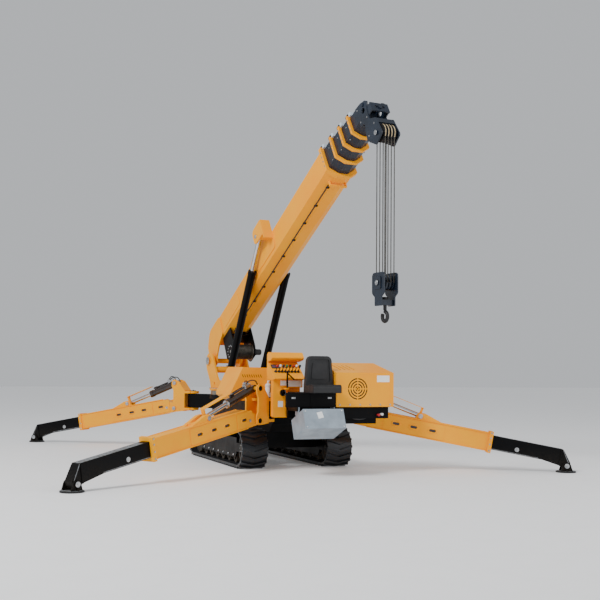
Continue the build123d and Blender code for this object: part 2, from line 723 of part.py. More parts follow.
def outer_arm():
    """Outer arm in its own frame: hollow beam, pivot eyes, rod lug, edge plates and end collar."""
    half = ARM_WIDTH / 2
    top = ARM_HEIGHT - ARM_BELOW
    clear = PIN_RADIUS + 0.5
    shape = [
        (-ARM_ROOT, -ARM_ROOT, ARM_ROOT - 4),
        (160, -ARM_BELOW, 200),
        (OUTER_ARM_LENGTH, -ARM_BELOW),
        (OUTER_ARM_LENGTH, top),
        (230, top, 120),
        (-ARM_ROOT, ARM_ROOT, ARM_ROOT - 4),
    ]
    beam = plate_xz(shape, -half, half)
    beam -= block(330, OUTER_ARM_LENGTH + 10, -half + ARM_WALL, half - ARM_WALL, -ARM_BELOW + ARM_WALL, top - ARM_WALL)
    beam -= rod_y(0, 0, clear, -half - 5, half + 5)
    rim = COLLAR_RIM
    collar = block(
        OUTER_ARM_LENGTH - 60, OUTER_ARM_LENGTH, -half - rim, half + rim, -ARM_BELOW - rim, top + rim
    )
    inner_mid = (top - ARM_BELOW) / 2
    collar -= block(
        OUTER_ARM_LENGTH - 70,
        OUTER_ARM_LENGTH + 10,
        -INNER_WIDTH / 2 - SLIDE_CLEAR,
        INNER_WIDTH / 2 + SLIDE_CLEAR,
        inner_mid - INNER_HEIGHT / 2 - SLIDE_CLEAR,
        inner_mid + INNER_HEIGHT / 2 + SLIDE_CLEAR,
    )
    lug = plate_xz(
        [
            (ROD_PIN_ALONG - 80, top - 5),
            (ROD_PIN_ALONG - 50, ROD_PIN_RISE + 50, 44),
            (ROD_PIN_ALONG + 70, ROD_PIN_RISE + 50, 40),
            (ROD_PIN_ALONG + 390, top - 5),
        ],
        CYL_EYE_WIDTH / 2 + 5,
        half,
    )
    arm = beam + collar + lug + mirror(lug, Plane.XZ)
    arm += block(ROD_PIN_ALONG + 96, ROD_PIN_ALONG + 300, -half, half, top - 5, top + 30)
    for x0, x1 in ((110, 470), (500, 1480)):
        low, high = -ARM_BELOW + 18, top - 24
        patch = plate_xz([(x0, low, 24), (x1, low, 24), (x1, high, 24), (x0, high, 24)], half, half + PATCH)
        arm += patch + mirror(patch, Plane.XZ)
    for z in (-ARM_BELOW, top):
        strip = block(240, OUTER_ARM_LENGTH - 50, half - 2, half + FLANGE_LIP, z - 7, z + 7)
        arm += strip + mirror(strip, Plane.XZ)
    for x in (310, 700, 985, 1290):
        pocket = Pos(x, half + PATCH - 2, inner_mid) * Rot(90, 0, 0) * extrude(SlotOverall(110, 44), 12, both=True)
        arm -= pocket
        arm -= mirror(pocket, Plane.XZ)
    boss = rod_y(ROD_PIN_ALONG, ROD_PIN_RISE, PIN_RADIUS + 8, half, half + 10)
    return arm + boss + mirror(boss, Plane.XZ)


def inner_arm(reach):
    """Sliding inner arm, from inside the outer arm to the foot fork."""
    top = ARM_HEIGHT - ARM_BELOW
    mid = (top - ARM_BELOW) / 2
    half = INNER_WIDTH / 2
    start = OUTER_ARM_LENGTH - INNER_OVERLAP
    low = mid - INNER_HEIGHT / 2
    high = mid + INNER_HEIGHT / 2
    toe_start = max(reach - TOE_LENGTH, OUTER_ARM_LENGTH + INNER_TRAVEL + TOE_CLEAR)
    shape = [
        (start, low),
        (toe_start, low),
        (reach - 110, low - TOE_DEPTH, 16),
        (reach - 40, -FOOT_PIN_DROP - FOOT_BOSS, 30),
        (reach + FOOT_BOSS, -FOOT_PIN_DROP - FOOT_BOSS, FOOT_BOSS - 4),
        (reach + FOOT_BOSS, -FOOT_PIN_DROP + FOOT_BOSS, FOOT_BOSS - 4),
        (reach - 90, high, 60),
        (start, high),
    ]
    arm = plate_xz(shape, -half, half)
    arm += block(reach - 122, reach - 98, -half - 12, half + 12, low - TOE_DEPTH, high - 2)
    arm -= block(start - 10, reach - 160, -half + ARM_WALL, half - ARM_WALL, low + ARM_WALL, high - ARM_WALL)
    arm -= rod_y(reach, -FOOT_PIN_DROP, PIN_RADIUS + 0.5, -half - 5, half + 5)
    return arm


def foot():
    """Foot in its own frame: round plate and two ribbed ears on the pin."""
    plate = rod_z(0, 0, FOOT_RADIUS, -FOOT_PIN_Z, -FOOT_PIN_Z + FOOT_PLATE)
    gap = INNER_WIDTH / 2 + 6
    base = -FOOT_PIN_Z + FOOT_PLATE - 2
    top = FOOT_BOSS - 6
    shape = [(-FOOT_EAR, base), (FOOT_EAR, base), (FOOT_BOSS, top, 44), (-FOOT_BOSS, top, 44)]
    ear = plate_xz(shape, gap, gap + 20)
    rib = plate_yz([(gap + 18, base), (FOOT_RADIUS - 16, base), (gap + 18, 0)], -10, 10)
    ear += rib
    body = plate + ear + mirror(ear, Plane.XZ)
    return body + rod_y(0, 0, PIN_RADIUS, -gap - 30, gap + 30)


def cylinder_run(slope):
    """Length and downward angle of an outrigger cylinder between its two pins."""
    a = radians(slope)
    x = ROD_PIN_ALONG * cos(a) + ROD_PIN_RISE * sin(a)
    z = -ROD_PIN_ALONG * sin(a) + ROD_PIN_RISE * cos(a) - BARREL_PIN_RISE
    return hypot(x, z), degrees(atan2(-z, x))


def leg_barrel():
    """Outrigger cylinder barrel along +X from its pin, with a pipe on its back."""
    half = CYL_EYE_WIDTH / 2
    body = rod_x(0, 0, CYL_RADIUS, 60, CYL_BARREL_LENGTH)
    body += rod_x(0, 0, CYL_RADIUS + 8, CYL_BARREL_LENGTH - 60, CYL_BARREL_LENGTH)
    body += rod_y(0, 0, CYL_EYE_RADIUS, -half, half)
    body += block(0, 80, -half, half, -CYL_EYE_RADIUS, CYL_EYE_RADIUS)
    body += rod_x(0, CYL_RADIUS + 26, 14, 110, CYL_BARREL_LENGTH - 90)
    body += block(130, 190, -24, 24, CYL_RADIUS - 10, CYL_RADIUS + 44)
    body += block(CYL_BARREL_LENGTH - 170, CYL_BARREL_LENGTH - 110, -24, 24, CYL_RADIUS - 10, CYL_RADIUS + 44)
    body -= rod_x(0, 0, CYL_ROD_RADIUS + 0.4, 120, CYL_BARREL_LENGTH + 10)
    return body - rod_y(0, 0, PIN_RADIUS + 0.5, -half - 5, half + 5)


def leg_rod(length):
    """Outrigger cylinder rod in the barrel's frame, with its eye at the given length."""
    half = CYL_EYE_WIDTH / 2 - 5
    body = rod_x(0, 0, CYL_ROD_RADIUS, CYL_ROD_START, length - 30)
    return body + rod_y(length, 0, CYL_EYE_RADIUS - 14, -half, half)


# Column and lift cylinders

TURRET = Pos(SLEW_X, 0, 0) * Rot(0, 0, SLEW_AZIMUTH)
BOOM = TURRET * Pos(HEEL_X, 0, HEEL_Z) * Rot(0, -LUFF, 0)
RING_BOTTOM = DECK_TOP + SEAT_GAP
FLANGE_BOTTOM = RING_BOTTOM + SLEW_RING_HEIGHT + SEAT_GAP
FLANGE_TOP = FLANGE_BOTTOM + FLANGE_THICKNESS


def slew_ring():
    """Slewing bearing on the pedestal."""
    z1 = RING_BOTTOM + SLEW_RING_HEIGHT
    ring = rod_z(SLEW_X, 0, SLEW_RING_RADIUS, RING_BOTTOM, z1)
    ring -= rod_z(SLEW_X, 0, SLEW_RING_RADIUS - 120, RING_BOTTOM - 5, z1 + 5)
    return ring


def column():
    """Turntable plate, two shaped cheeks, cross tube and the lift cylinder lugs."""
    rear, front, side = COLUMN_HALF_LENGTH_REAR, COLUMN_HALF_LENGTH_FRONT, COLUMN_HALF_WIDTH
    body = plate_xy(
        [
            (-rear, -side, 200),
            (front, -side, 140),
            (front, side, 140),
            (-rear, side, 200),
        ],
        FLANGE_BOTTOM,
        FLANGE_TOP,
    )
    shape = [
        (-rear + 60, FLANGE_TOP - 1),
        (-rear + 20, FLANGE_TOP + 120, 120),
        (HEEL_X - CHEEK_ROUND, HEEL_Z - 120, 200),
        (HEEL_X - CHEEK_ROUND, HEEL_Z + CHEEK_ROUND, CHEEK_ROUND - 6),
        (HEEL_X + CHEEK_ROUND, HEEL_Z + CHEEK_ROUND - 10, 110),
        (-270, 1440, 160),
        (-190, CHEEK_FRONT_TOP, 60),
        (100, CHEEK_FRONT_TOP, 40),
        (100, FLANGE_TOP - 1),
    ]
    cheek = plate_xz(shape, CHEEK_INNER, CHEEK_INNER + CHEEK_THICKNESS)
    for x in (-380, -60):
        cheek -= rod_y(x, FLANGE_TOP + 90, 34, CHEEK_INNER - 5, CHEEK_INNER + CHEEK_THICKNESS + 5)
    cheek -= rod_y(HEEL_X, HEEL_Z, HEEL_PIN_RADIUS, 0, 600)
    inner = LIFT_HALF_SPACING - LIFT_EYE_WIDTH / 2 - LUG_GAP
    outer = LIFT_HALF_SPACING + LIFT_EYE_WIDTH / 2 + LUG_GAP
    lug_shape = [
        (85, FLANGE_TOP - 1),
        (85, CHEEK_FRONT_TOP - 14),
        (LIFT_FOOT_X - 50, LIFT_FOOT_Z + 76, 40),
        (LIFT_FOOT_X + 76, LIFT_FOOT_Z + 76, 72),
        (LIFT_FOOT_X + 110, FLANGE_TOP - 1),
    ]
    side_set = cheek
    side_set += plate_xz(lug_shape, inner - 28, inner)
    side_set += plate_xz(lug_shape, outer, outer + 28)
    side_set += block(85, 105, inner - 28, outer + 28, FLANGE_TOP - 1, CHEEK_FRONT_TOP - 14)
    side_set += rod_y(LIFT_FOOT_X, LIFT_FOOT_Z, PIN_RADIUS + 6, inner - 40, outer + 40)
    for piece in mirrored(side_set):
        body += piece
    body += rod_y(-470, 1560, 62, -CHEEK_INNER - 5, CHEEK_INNER + 5)
    body += block(-330, 60, -240, 240, FLANGE_TOP - 1, FLANGE_TOP + 46)
    for index in range(VALVES):
        y = -200 + index * 400 / (VALVES - 1)
        body += block(-300, -60, y - 34, y + 34, FLANGE_TOP + 40, FLANGE_TOP + 150)
        body += rod_x(y, FLANGE_TOP + 100, 22, -340, -20)
    body += rod_y(HEEL_X, HEEL_Z, HEEL_PIN_RADIUS, -CHEEK_INNER - 60, CHEEK_INNER + 60)
    return body


def lift_run():
    """Length and elevation of the lift cylinders between their pins, in the column's frame."""
    a = radians(LUFF)
    x = HEEL_X + LIFT_PIN_S * cos(a) - LIFT_PIN_T * sin(a) - LIFT_FOOT_X
    z = HEEL_Z + LIFT_PIN_S * sin(a) + LIFT_PIN_T * cos(a) - LIFT_FOOT_Z
    return hypot(x, z), degrees(atan2(z, x))


def lift_barrels():
    """The two lift cylinder barrels along +X from their foot pin."""
    pieces = []
    for side in (-1, 1):
        y = side * LIFT_HALF_SPACING
        half = LIFT_EYE_WIDTH / 2
        body = rod_x(y, 0, LIFT_BARREL_RADIUS, 118, LIFT_BARREL_LENGTH)
        body += rod_x(y, 0, LIFT_BARREL_RADIUS + 6, LIFT_BARREL_LENGTH - 70, LIFT_BARREL_LENGTH)
        body += rod_y(0, 0, LIFT_EYE_RADIUS, y - half, y + half)
        body += block(0, 130, y - half, y + half, -LIFT_EYE_RADIUS, LIFT_EYE_RADIUS)
        body -= rod_x(y, 0, LIFT_ROD_RADIUS + 0.4, 160, LIFT_BARREL_LENGTH + 10)
        body -= rod_y(0, 0, PIN_RADIUS + 6.5, y - half - 5, y + half + 5)
        pieces.append(body)
    return pieces


def lift_rods():
    """The two lift cylinder rods in the barrels' frame."""
    pieces = []
    length, _ = lift_run()
    for side in (-1, 1):
        y = side * LIFT_HALF_SPACING
        body = rod_x(y, 0, LIFT_ROD_RADIUS, length - LIFT_BARREL_LENGTH + 260, length - 30)
        body += rod_y(length, 0, LIFT_EYE_RADIUS - 10, y - 34, y + 34)
        pieces.append(body)
    return pieces


# Boom


def boom_outline(shrink, grow=0.0):
    """Six-sided boom section in the YZ plane, smaller all round by shrink, larger by grow."""
    half = BASE_WIDTH / 2 - shrink + grow
    low = BASE_UNDERSIDE + shrink - grow
    high = BASE_UNDERSIDE + BASE_HEIGHT - shrink + grow
    across = CHAMFER_ACROSS - 0.42 * shrink
    up = CHAMFER_UP - 0.3 * shrink
    return [
        (-half, high),
        (half, high),
        (half, low + up),
        (half - across, low),
        (-half + across, low),
        (-half, low + up),
    ]


def boom_tube(shrink, s0, s1):
    """Hollow boom section between two stations."""
    tube = plate_yz(boom_outline(shrink), s0, s1)
    return tube - plate_yz(boom_outline(shrink + BOOM_WALL), s0 - 10, s1 + 10)


def collar(shrink, s0, s1, rim):
    """End ring of a section, snug round the next section that slides through it."""
    ring = plate_yz(boom_outline(shrink, rim), s0, s1)
    return ring - plate_yz(boom_outline(shrink + SECTION_STEP / 2, SLIDE_CLEAR), s0 - 10, s1 + 10)


def boom_base():
    """Base section with its bent heel, lift brackets and end collar."""
    tube = boom_tube(0, 420, BASE_END)
    tube += collar(0, BASE_END - COLLAR_LENGTH, BASE_END, COLLAR_RIM)
    half = BASE_WIDTH / 2
    top = BASE_UNDERSIDE + BASE_HEIGHT
    heel = [
        (640, BASE_UNDERSIDE + CHAMFER_UP, 60),
        (640, top - 6, 60),
        (100, top - 6, 220),
        (-130, 380, 160),
        (-HEEL_ROUND - 30, 60, 160),
        (-HEEL_ROUND + 10, -HEEL_ROUND, 110),
        (HEEL_ROUND, -HEEL_ROUND, 110),
        (190, 0, 60),
        (400, BASE_UNDERSIDE + 30, 80),
    ]
    for side in (-1, 1):
        y0, y1 = sorted((side * (half - 2), side * (half + ROOT_PLATE)))
        tube += plate_xz(heel, y0, y1)
        b0, b1 = sorted((side * half, side * (CHEEK_INNER - 6)))
        tube += rod_y(0, 0, 105, b0, b1)
    lap = 450
    cover = [(-60, 400), (180, top - 30), (lap, top - 30), (lap, top - 4), (170, top - 4), (-74, 420)]
    tube += plate_xz(cover, -half, half)
    tube -= rod_y(0, 0, HEEL_PIN_RADIUS + 0.5, -500, 500)
    outer = 420
    for side in (-1, 1):
        cheek_y = sorted((side * (outer - 20), side * outer))
        shape = [(2940, 600, 60), (3040, 585, 60), (3330, 585, 60), (3330, 870, 40), (2940, 870, 90)]
        tube += plate_xz(shape, *cheek_y)
        span = sorted((side * (half - 1), side * outer))
        tube += block(3300, 3330, *span, 480, 860)
        tube += block(3120, 3330, *span, 580, 596)
        gusset = [(1760, 330, 80), (3330, 300, 60), (3330, 870, 40), (2900, 870, 200), (2700, 810, 300)]
        tube += plate_xz(gusset, *sorted((side * (half - 1), side * (half + 12))))
        doubler = [(760, 280, 40), (1560, 300, 40), (1560, 540, 40), (760, 560, 40)]
        tube += plate_xz(doubler, *sorted((side * (half - 1), side * (half + DOUBLER))))
    handle = block(BASE_END - 240, BASE_END - 200, -150, 150, 60, 78)
    for y in (-150, 132):
        handle += block(BASE_END - 240, BASE_END - 200, y, y + 18, 60, BASE_UNDERSIDE + 40)
    return tube + handle


def boom_section(index):
    """Sliding section, with a snug ring at its end when another section runs through it."""
    _, rear, front = SECTIONS[index]
    shrink = (index + 1) * SECTION_STEP / 2
    body = boom_tube(shrink, rear, front)
    if index < len(SECTIONS) - 1:
        body += collar(shrink, front - 34, front, 24)
        guide = block(front - 60, front - 10, -70, 70, BASE_UNDERSIDE + BASE_HEIGHT - shrink - 2, BASE_UNDERSIDE + BASE_HEIGHT - shrink + 46)
        body += guide
    return body


def boom_head():
    """Head on the last section: two angular cheeks round the sheaves, with a bored nose plate above."""
    shrink = len(SECTIONS) * SECTION_STEP / 2
    start = SECTIONS[-1][2]
    half = BASE_WIDTH / 2 - shrink
    high = BASE_UNDERSIDE + BASE_HEIGHT - shrink
    low = BASE_UNDERSIDE + shrink
    shape = [
        (start, low - 10),
        (start, high + 10),
        (start + 150, high - 10),
        (start + 275, high - 60, 60),
        (start + 320, high - 110, 30),
        (start + 260, 300, 20),
        (start + 250, 130, 20),
        (start + 382, 35, 20),
        (start + 422, -282, 40),
        (start + 200, -335, 40),
        (start + 40, -119, 30),
        (start + 110, 165, 20),
        (start + 60, low - 10),
    ]
    body = plate_xz(shape, half - 22, half)
    body -= rod_y(start + 170, high - 170, 46, 0, 2 * half)
    body += mirror(body, Plane.XZ)
    inner = half - 10
    body += block(start, start + 24, -half, half, low, high)
    body += block(start + 40, start + 60, -inner, inner, low, high)
    roof = [(start + 20, high - 16), (start + 20, high + 6), (start + 150, high - 12), (start + 150, high - 34)]
    body += plate_xz(roof, -inner, inner)
    nose = block(start + NOSE, start + NOSE + 22, -half + 6, half - 6, 190, 350)
    for y in (-NOSE_HOLE_Y, NOSE_HOLE_Y):
        nose -= rod_x(y, 275, 24, start + NOSE - 5, start + NOSE + 30)
    body += nose + rod_x(0, 275, 34, start + NOSE + 20, start + NOSE + 38)
    side = block(start + 215, start + NOSE + 4, half - 22, half - 6, 200, 340)
    body += side + mirror(side, Plane.XZ)
    body += plate_xz([(start + 370, 30), (start + 382, 30), (start + 394, -62), (start + 382, -62)], -inner, inner)
    body += rod_y(HEAD_AXLE_S, HEAD_AXLE_T, 32, -half - 14, half + 14)
    body += rod_y(start + 200, high - 80, 28, -half - 14, half + 14)
    body += rod_y(start + 305, 60, 20, -inner, inner)
    return body


def head_sheaves():
    """Rope sheaves on the head's lower axle."""
    pieces = []
    for index in range(SHEAVE_COUNT):
        y = (index - (SHEAVE_COUNT - 1) / 2) * SHEAVE_PITCH
        t = SHEAVE_THICKNESS / 2
        with BuildPart() as wheel:
            with BuildSketch(Plane.XZ):
                with BuildLine():
                    Polyline(
                        (32.3, -t), (SHEAVE_RADIUS, -t), (SHEAVE_RADIUS, -GROOVE_HALF),
                        (SHEAVE_RADIUS - GROOVE_DEPTH, 0), (SHEAVE_RADIUS, GROOVE_HALF), (SHEAVE_RADIUS, t),
                        (32.3, t), close=True,
                    )
                make_face()
            revolve(axis=Axis.Z)
        pieces.append(Pos(HEAD_AXLE_S, y, HEAD_AXLE_T) * Rot(90, 0, 0) * wheel.part)
    return pieces


def winch_frame():
    """Two side plates hung under the boom's heel, with the winch motor outside one of them."""
    plates = []
    reach = DRUM_HALF_LENGTH + 8
    flat = BASE_WIDTH / 2 - CHAMFER_ACROSS
    seat_t = BASE_UNDERSIDE + CHAMFER_UP * (reach - flat) / CHAMFER_ACROSS - 0.4
    shape = [
        (500, seat_t),
        (490, -240, 40),
        (590, -370, 60),
        (820, -370, 60),
        (910, -220, 60),
        (900, seat_t),
    ]
    for side in (-1, 1):
        y0, y1 = sorted((side * reach, side * (reach + WINCH_PLATE)))
        plates.append(plate_xz(shape, y0, y1))
    body = plates[0] + plates[1]
    body += block(500, 900, -flat, flat, BASE_UNDERSIDE - 26, BASE_UNDERSIDE - SEAT_GAP)
    body += block(560, 840, -reach, reach, BASE_UNDERSIDE - 44, BASE_UNDERSIDE - 24)
    body += rod_y(WINCH_S, WINCH_T, 78, reach + WINCH_PLATE, reach + WINCH_PLATE + 26)
    body -= rod_y(WINCH_S, WINCH_T, 30.3, -400, reach + WINCH_PLATE + 5)
    return body


def winch_drum():
    """Rope drum with its two flanges and shaft ends."""
    length = DRUM_HALF_LENGTH
    body = rod_y(WINCH_S, WINCH_T, DRUM_RADIUS, -length, length)
    for side in (-1, 1):
        y0, y1 = sorted((side * (length - 16), side * length))
        body += rod_y(WINCH_S, WINCH_T, DRUM_FLANGE_RADIUS, y0, y1)
    return body + rod_y(WINCH_S, WINCH_T, 30, -length - 8 - WINCH_PLATE, length + 8 + WINCH_PLATE)


# Hook

HEAD_LINE = HEEL_X + HEAD_AXLE_S * cos(radians(LUFF)) - HEAD_AXLE_T * sin(radians(LUFF))
HEAD_LINE_Z = HEEL_Z + HEAD_AXLE_S * sin(radians(LUFF)) + HEAD_AXLE_T * cos(radians(LUFF))
ROPE_X = HEAD_LINE
ROPE_OFFSET = BLOCK_SHEAVE_RADIUS + ROPE_RADIUS + SEAT_GAP
GROOVE_RADIUS = SHEAVE_RADIUS - GROOVE_DEPTH
ROPE_TOP_Z = HEAD_LINE_Z - 2 * SEAT_GAP - max(
    sqrt((GROOVE_RADIUS + GROOVE_DEPTH * y / GROOVE_HALF) ** 2 - (ROPE_OFFSET - sqrt(ROPE_RADIUS**2 - y**2)) ** 2)
    for y in range(ROPE_RADIUS + 1)
)
BLOCK_AXLE_Z = HOOK_BLOCK_TOP_Z - 150


def hoist_ropes():
    """Taut falls of rope between the head sheaves and the block."""
    pieces = []
    for index in range(SHEAVE_COUNT):
        y = (index - (SHEAVE_COUNT - 1) / 2) * SHEAVE_PITCH
        for dx in (-ROPE_OFFSET, ROPE_OFFSET):
            pieces.append(rod_z(ROPE_X + dx, y, ROPE_RADIUS, BLOCK_AXLE_Z, ROPE_TOP_Z))
    return pieces


def hook_block():
    """Hook block: two stepped side plates, sheaves between them and a crosshead below."""
    half = HOOK_BLOCK_WIDTH / 2
    length = HOOK_BLOCK_LENGTH / 2
    top = HOOK_BLOCK_TOP_Z
    low = top - HOOK_BLOCK_HEIGHT
    neck = length * 0.55
    shape = [
        (ROPE_X - length, top, 60),
        (ROPE_X + length, top, 60),
        (ROPE_X + length, top - 300, 60),
        (ROPE_X + neck, top - 350, 30),
        (ROPE_X + neck, low, 20),
        (ROPE_X - neck, low, 20),
        (ROPE_X - neck, top - 350, 30),
        (ROPE_X - length, top - 300, 60),
    ]
    body = plate_xz(shape, half - 20, half)
    body += plate_xz([(ROPE_X - 90, top - 60, 30), (ROPE_X + 90, top - 60, 30), (ROPE_X + 90, top - 240, 30), (ROPE_X - 90, top - 240, 30)], half - 2, half + 14)
    body += mirror(body, Plane.XZ)
    body += rod_y(ROPE_X, BLOCK_AXLE_Z, 24, -half - 22, half + 22)
    for index in range(SHEAVE_COUNT):
        y = (index - (SHEAVE_COUNT - 1) / 2) * SHEAVE_PITCH
        body += rod_y(ROPE_X, BLOCK_AXLE_Z, BLOCK_SHEAVE_RADIUS, y - 15, y + 15)
    cross = block(ROPE_X - 60, ROPE_X + 60, -half + 10, half - 10, low + 10, low + 90)
    body += cross - rod_z(ROPE_X, 0, 26, low, low + 100)
    return body


def hook():
    """Single hook with a shank and nut in the crosshead."""
    low = HOOK_BLOCK_TOP_Z - HOOK_BLOCK_HEIGHT
    body = rod_z(ROPE_X, 0, 25.4, low - 60, low + 96)
    body += rod_z(ROPE_X, 0, 44, low + 90.4, low + 130)
    with BuildPart() as bow:
        with BuildLine(Plane.XZ) as path:
            CenterArc((ROPE_X, low - HOOK_DROP), HOOK_BOW, -210, 300)
        with BuildSketch(Plane(path.line @ 0, z_dir=path.line % 0)):
            Circle(HOOK_BAR)
        sweep()
    return body + bow.part


def solids_of(shape):
    """A node's solids as a list."""
    return shape if isinstance(shape, list) else [shape]


def origin_shift(nodes):
    """Middle of the overall box in X and Y."""
    boxes = [s.bounding_box() for shape in nodes.values() for s in solids_of(shape)]
    x = (min(b.min.X for b in boxes) + max(b.max.X for b in boxes)) / 2
    y = (min(b.min.Y for b in boxes) + max(b.max.Y for b in boxes)) / 2
    return x, y


def build_nodes():
    """All nodes in the layout's frame, by name."""
    nodes = {
        "main_frame": main_frame(),
        "track_frames": [track_beam(-1), track_beam(1)],
        "track_right": track(-1),
        "track_left": track(1),
        "running_gear": running_gear(),
        "front_subframe": front_subframe(),
        "engine_cover": engine_cover(),
        "engine": engine(),
        "side_housing": side_housing(),
        "console": console(),
        "console_hood": console_hood(),
        "brace_post": brace_post(),
        "work_lamp": work_lamp(),
        "extinguisher": extinguisher(),
        "control_levers": control_levers(),
        "seat_base": seat_base(),
        "seat": seat(),
        "foot_box": foot_box(),
        "slew_ring": slew_ring(),
        "column": TURRET * column(),
        "boom_base": BOOM * boom_base(),
        "boom_head": BOOM * boom_head(),
        "head_sheaves": [BOOM * s for s in head_sheaves()],
        "winch_frame": BOOM * winch_frame(),
        "winch_drum": BOOM * winch_drum(),
        "hoist_ropes": [TURRET * s for s in hoist_ropes()],
        "hook_block": TURRET * hook_block(),
        "hook": TURRET * hook(),
    }
    for index, (name, _, _) in enumerate(SECTIONS):
        nodes[name] = BOOM * boom_section(index)
    _, lift_angle = lift_run()
    lift = TURRET * Pos(LIFT_FOOT_X, 0, LIFT_FOOT_Z) * Rot(0, -lift_angle, 0)
    nodes["lift_barrels"] = [lift * s for s in lift_barrels()]
    nodes["lift_rods"] = [lift * s for s in lift_rods()]
    for name, x, y, azimuth, reach in CORNERS:
        slope = corner_slope(reach)
        hinge = hinge_place(x, y, azimuth)
        arm = hinge * Pos(PIN_OFFSET, 0, ARM_PIVOT_Z) * Rot(0, slope, 0)
        length, fall = cylinder_run(slope)
        ram = hinge * Pos(PIN_OFFSET, 0, ARM_PIVOT_Z + BARREL_PIN_RISE) * Rot(0, fall, 0)
        nodes[f"{name}_bracket"] = hinge * bracket()
        nodes[f"{name}_arm"] = arm * outer_arm()
        nodes[f"{name}_inner_arm"] = arm * inner_arm(reach)
        nodes[f"{name}_foot"] = arm * Pos(reach, 0, -FOOT_PIN_DROP) * Rot(0, -slope, 0) * foot()
        nodes[f"{name}_barrel"] = ram * leg_barrel()
        nodes[f"{name}_rod"] = ram * leg_rod(length)
    return nodes


def main():
    """Write each node as parts/NODE.step, with the origin under the middle of the whole."""
    os.makedirs("parts", exist_ok=True)
    nodes = build_nodes()
    dx, dy = origin_shift(nodes)
    print(f"origin shift {dx:.3f} {dy:.3f}")
    move = Pos(-dx, -dy, 0)
    for name, shape in nodes.items():
        placed = [move * s for s in solids_of(shape)]
        export_step(placed[0] if len(placed) == 1 else Compound(children=placed), f"parts/{name}.step")


main()
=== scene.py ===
# %% [markdown]
# # A spider crane, finished in Blender
# The solids of this crane come from CAD, in metres and already in place. Blender gives them their
# finish and adds what a drawing of solids leaves out: bolts, pipes, wound rope, rubber pads, hoses
# and seams. Each cell makes one thing, and says first what it is on the real machine.

# %% Load the fixed frame
import bpy
import numpy as np
from mathutils import Matrix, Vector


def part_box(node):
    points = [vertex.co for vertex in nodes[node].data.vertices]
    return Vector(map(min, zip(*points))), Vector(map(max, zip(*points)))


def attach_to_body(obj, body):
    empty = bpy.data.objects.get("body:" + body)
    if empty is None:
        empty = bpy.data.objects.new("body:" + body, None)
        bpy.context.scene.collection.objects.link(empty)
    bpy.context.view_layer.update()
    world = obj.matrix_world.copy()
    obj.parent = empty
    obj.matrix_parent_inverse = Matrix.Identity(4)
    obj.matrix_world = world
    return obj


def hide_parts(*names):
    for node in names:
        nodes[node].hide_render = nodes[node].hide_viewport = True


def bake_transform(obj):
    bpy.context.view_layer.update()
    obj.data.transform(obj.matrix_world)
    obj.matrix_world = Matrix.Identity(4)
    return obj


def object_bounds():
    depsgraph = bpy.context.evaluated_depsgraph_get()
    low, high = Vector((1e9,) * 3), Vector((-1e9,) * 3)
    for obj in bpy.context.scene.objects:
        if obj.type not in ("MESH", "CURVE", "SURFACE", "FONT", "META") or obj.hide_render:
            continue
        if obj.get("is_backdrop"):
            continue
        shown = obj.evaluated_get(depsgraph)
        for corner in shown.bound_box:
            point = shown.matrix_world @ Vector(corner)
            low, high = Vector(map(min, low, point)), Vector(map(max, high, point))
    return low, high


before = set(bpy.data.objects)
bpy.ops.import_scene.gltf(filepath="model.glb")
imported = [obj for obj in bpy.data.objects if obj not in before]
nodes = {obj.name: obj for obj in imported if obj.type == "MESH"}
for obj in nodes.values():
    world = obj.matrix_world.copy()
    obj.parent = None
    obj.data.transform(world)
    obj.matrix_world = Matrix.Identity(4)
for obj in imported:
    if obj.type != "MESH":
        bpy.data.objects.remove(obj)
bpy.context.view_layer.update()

# %% [markdown]
# ## Where things are
# The machine's own layout, in millimetres, has its zero under the middle of the tracks, and the
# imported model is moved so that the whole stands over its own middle. These helpers turn a place on
# the boom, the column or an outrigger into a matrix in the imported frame, in metres, so that a piece
# is drawn on a flat bench and then set where it belongs.

# %% Places
SLEW_X, SLEW_AZIMUTH = -1475, 5.0
ring_low, ring_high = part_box("slew_ring")
MOVE_X = 500 * (ring_low[0] + ring_high[0]) - SLEW_X
MOVE_Y = 500 * (ring_low[1] + ring_high[1])
HEEL_X, HEEL_Z, LUFF = -664, 1727, 30.7
ARM_PIVOT_Z, PIN_OFFSET = 788, 346
FOOT_PIN_Z, FOOT_PIN_DROP = 105, 60
ROD_EYE_X, ROD_EYE_Z, RAM_RISE = 1065, 265, 498
# Hinge x and y, azimuth in degrees and reach of each outrigger
CORNERS = {
    "right_front": (1600, -550, -60.0, 3561),
    "right_rear": (-2672, -566, -133.6, 3410),
    "left_front": (1600, 550, 63.8, 3455),
    "left_rear": (-2672, 566, 133.6, 3410),
}


def shift(x=0, y=0, z=0):
    """Matrix that moves by millimetres."""
    return Matrix.Translation((x / 1000, y / 1000, z / 1000))


def turn(degrees, axis):
    """Matrix that turns about an axis, counter-clockwise when the axis points at the viewer."""
    return Matrix.Rotation(np.radians(degrees), 4, axis)


MACHINE = shift(MOVE_X, MOVE_Y)
TURRET = MACHINE @ shift(SLEW_X) @ turn(SLEW_AZIMUTH, "Z")
BOOM = TURRET @ shift(HEEL_X, 0, HEEL_Z) @ turn(-LUFF, "Y")
TO_FRONT, TO_LEFT, TO_RIGHT = turn(90, "Y"), turn(-90, "X"), turn(90, "X")
SIDES = ((1, TO_LEFT), (-1, TO_RIGHT))


def on_front(x, y, z):
    """Place on a face of the chassis that looks forwards."""
    return MACHINE @ shift(x, y, z) @ TO_FRONT


def on_sides(part, half, *spots):
    """Places on a part's left and right faces, half a width off its middle, at each spot (x, z)."""
    return [part @ shift(x, side * half, z) @ way for side, way in SIDES for x, z in spots]


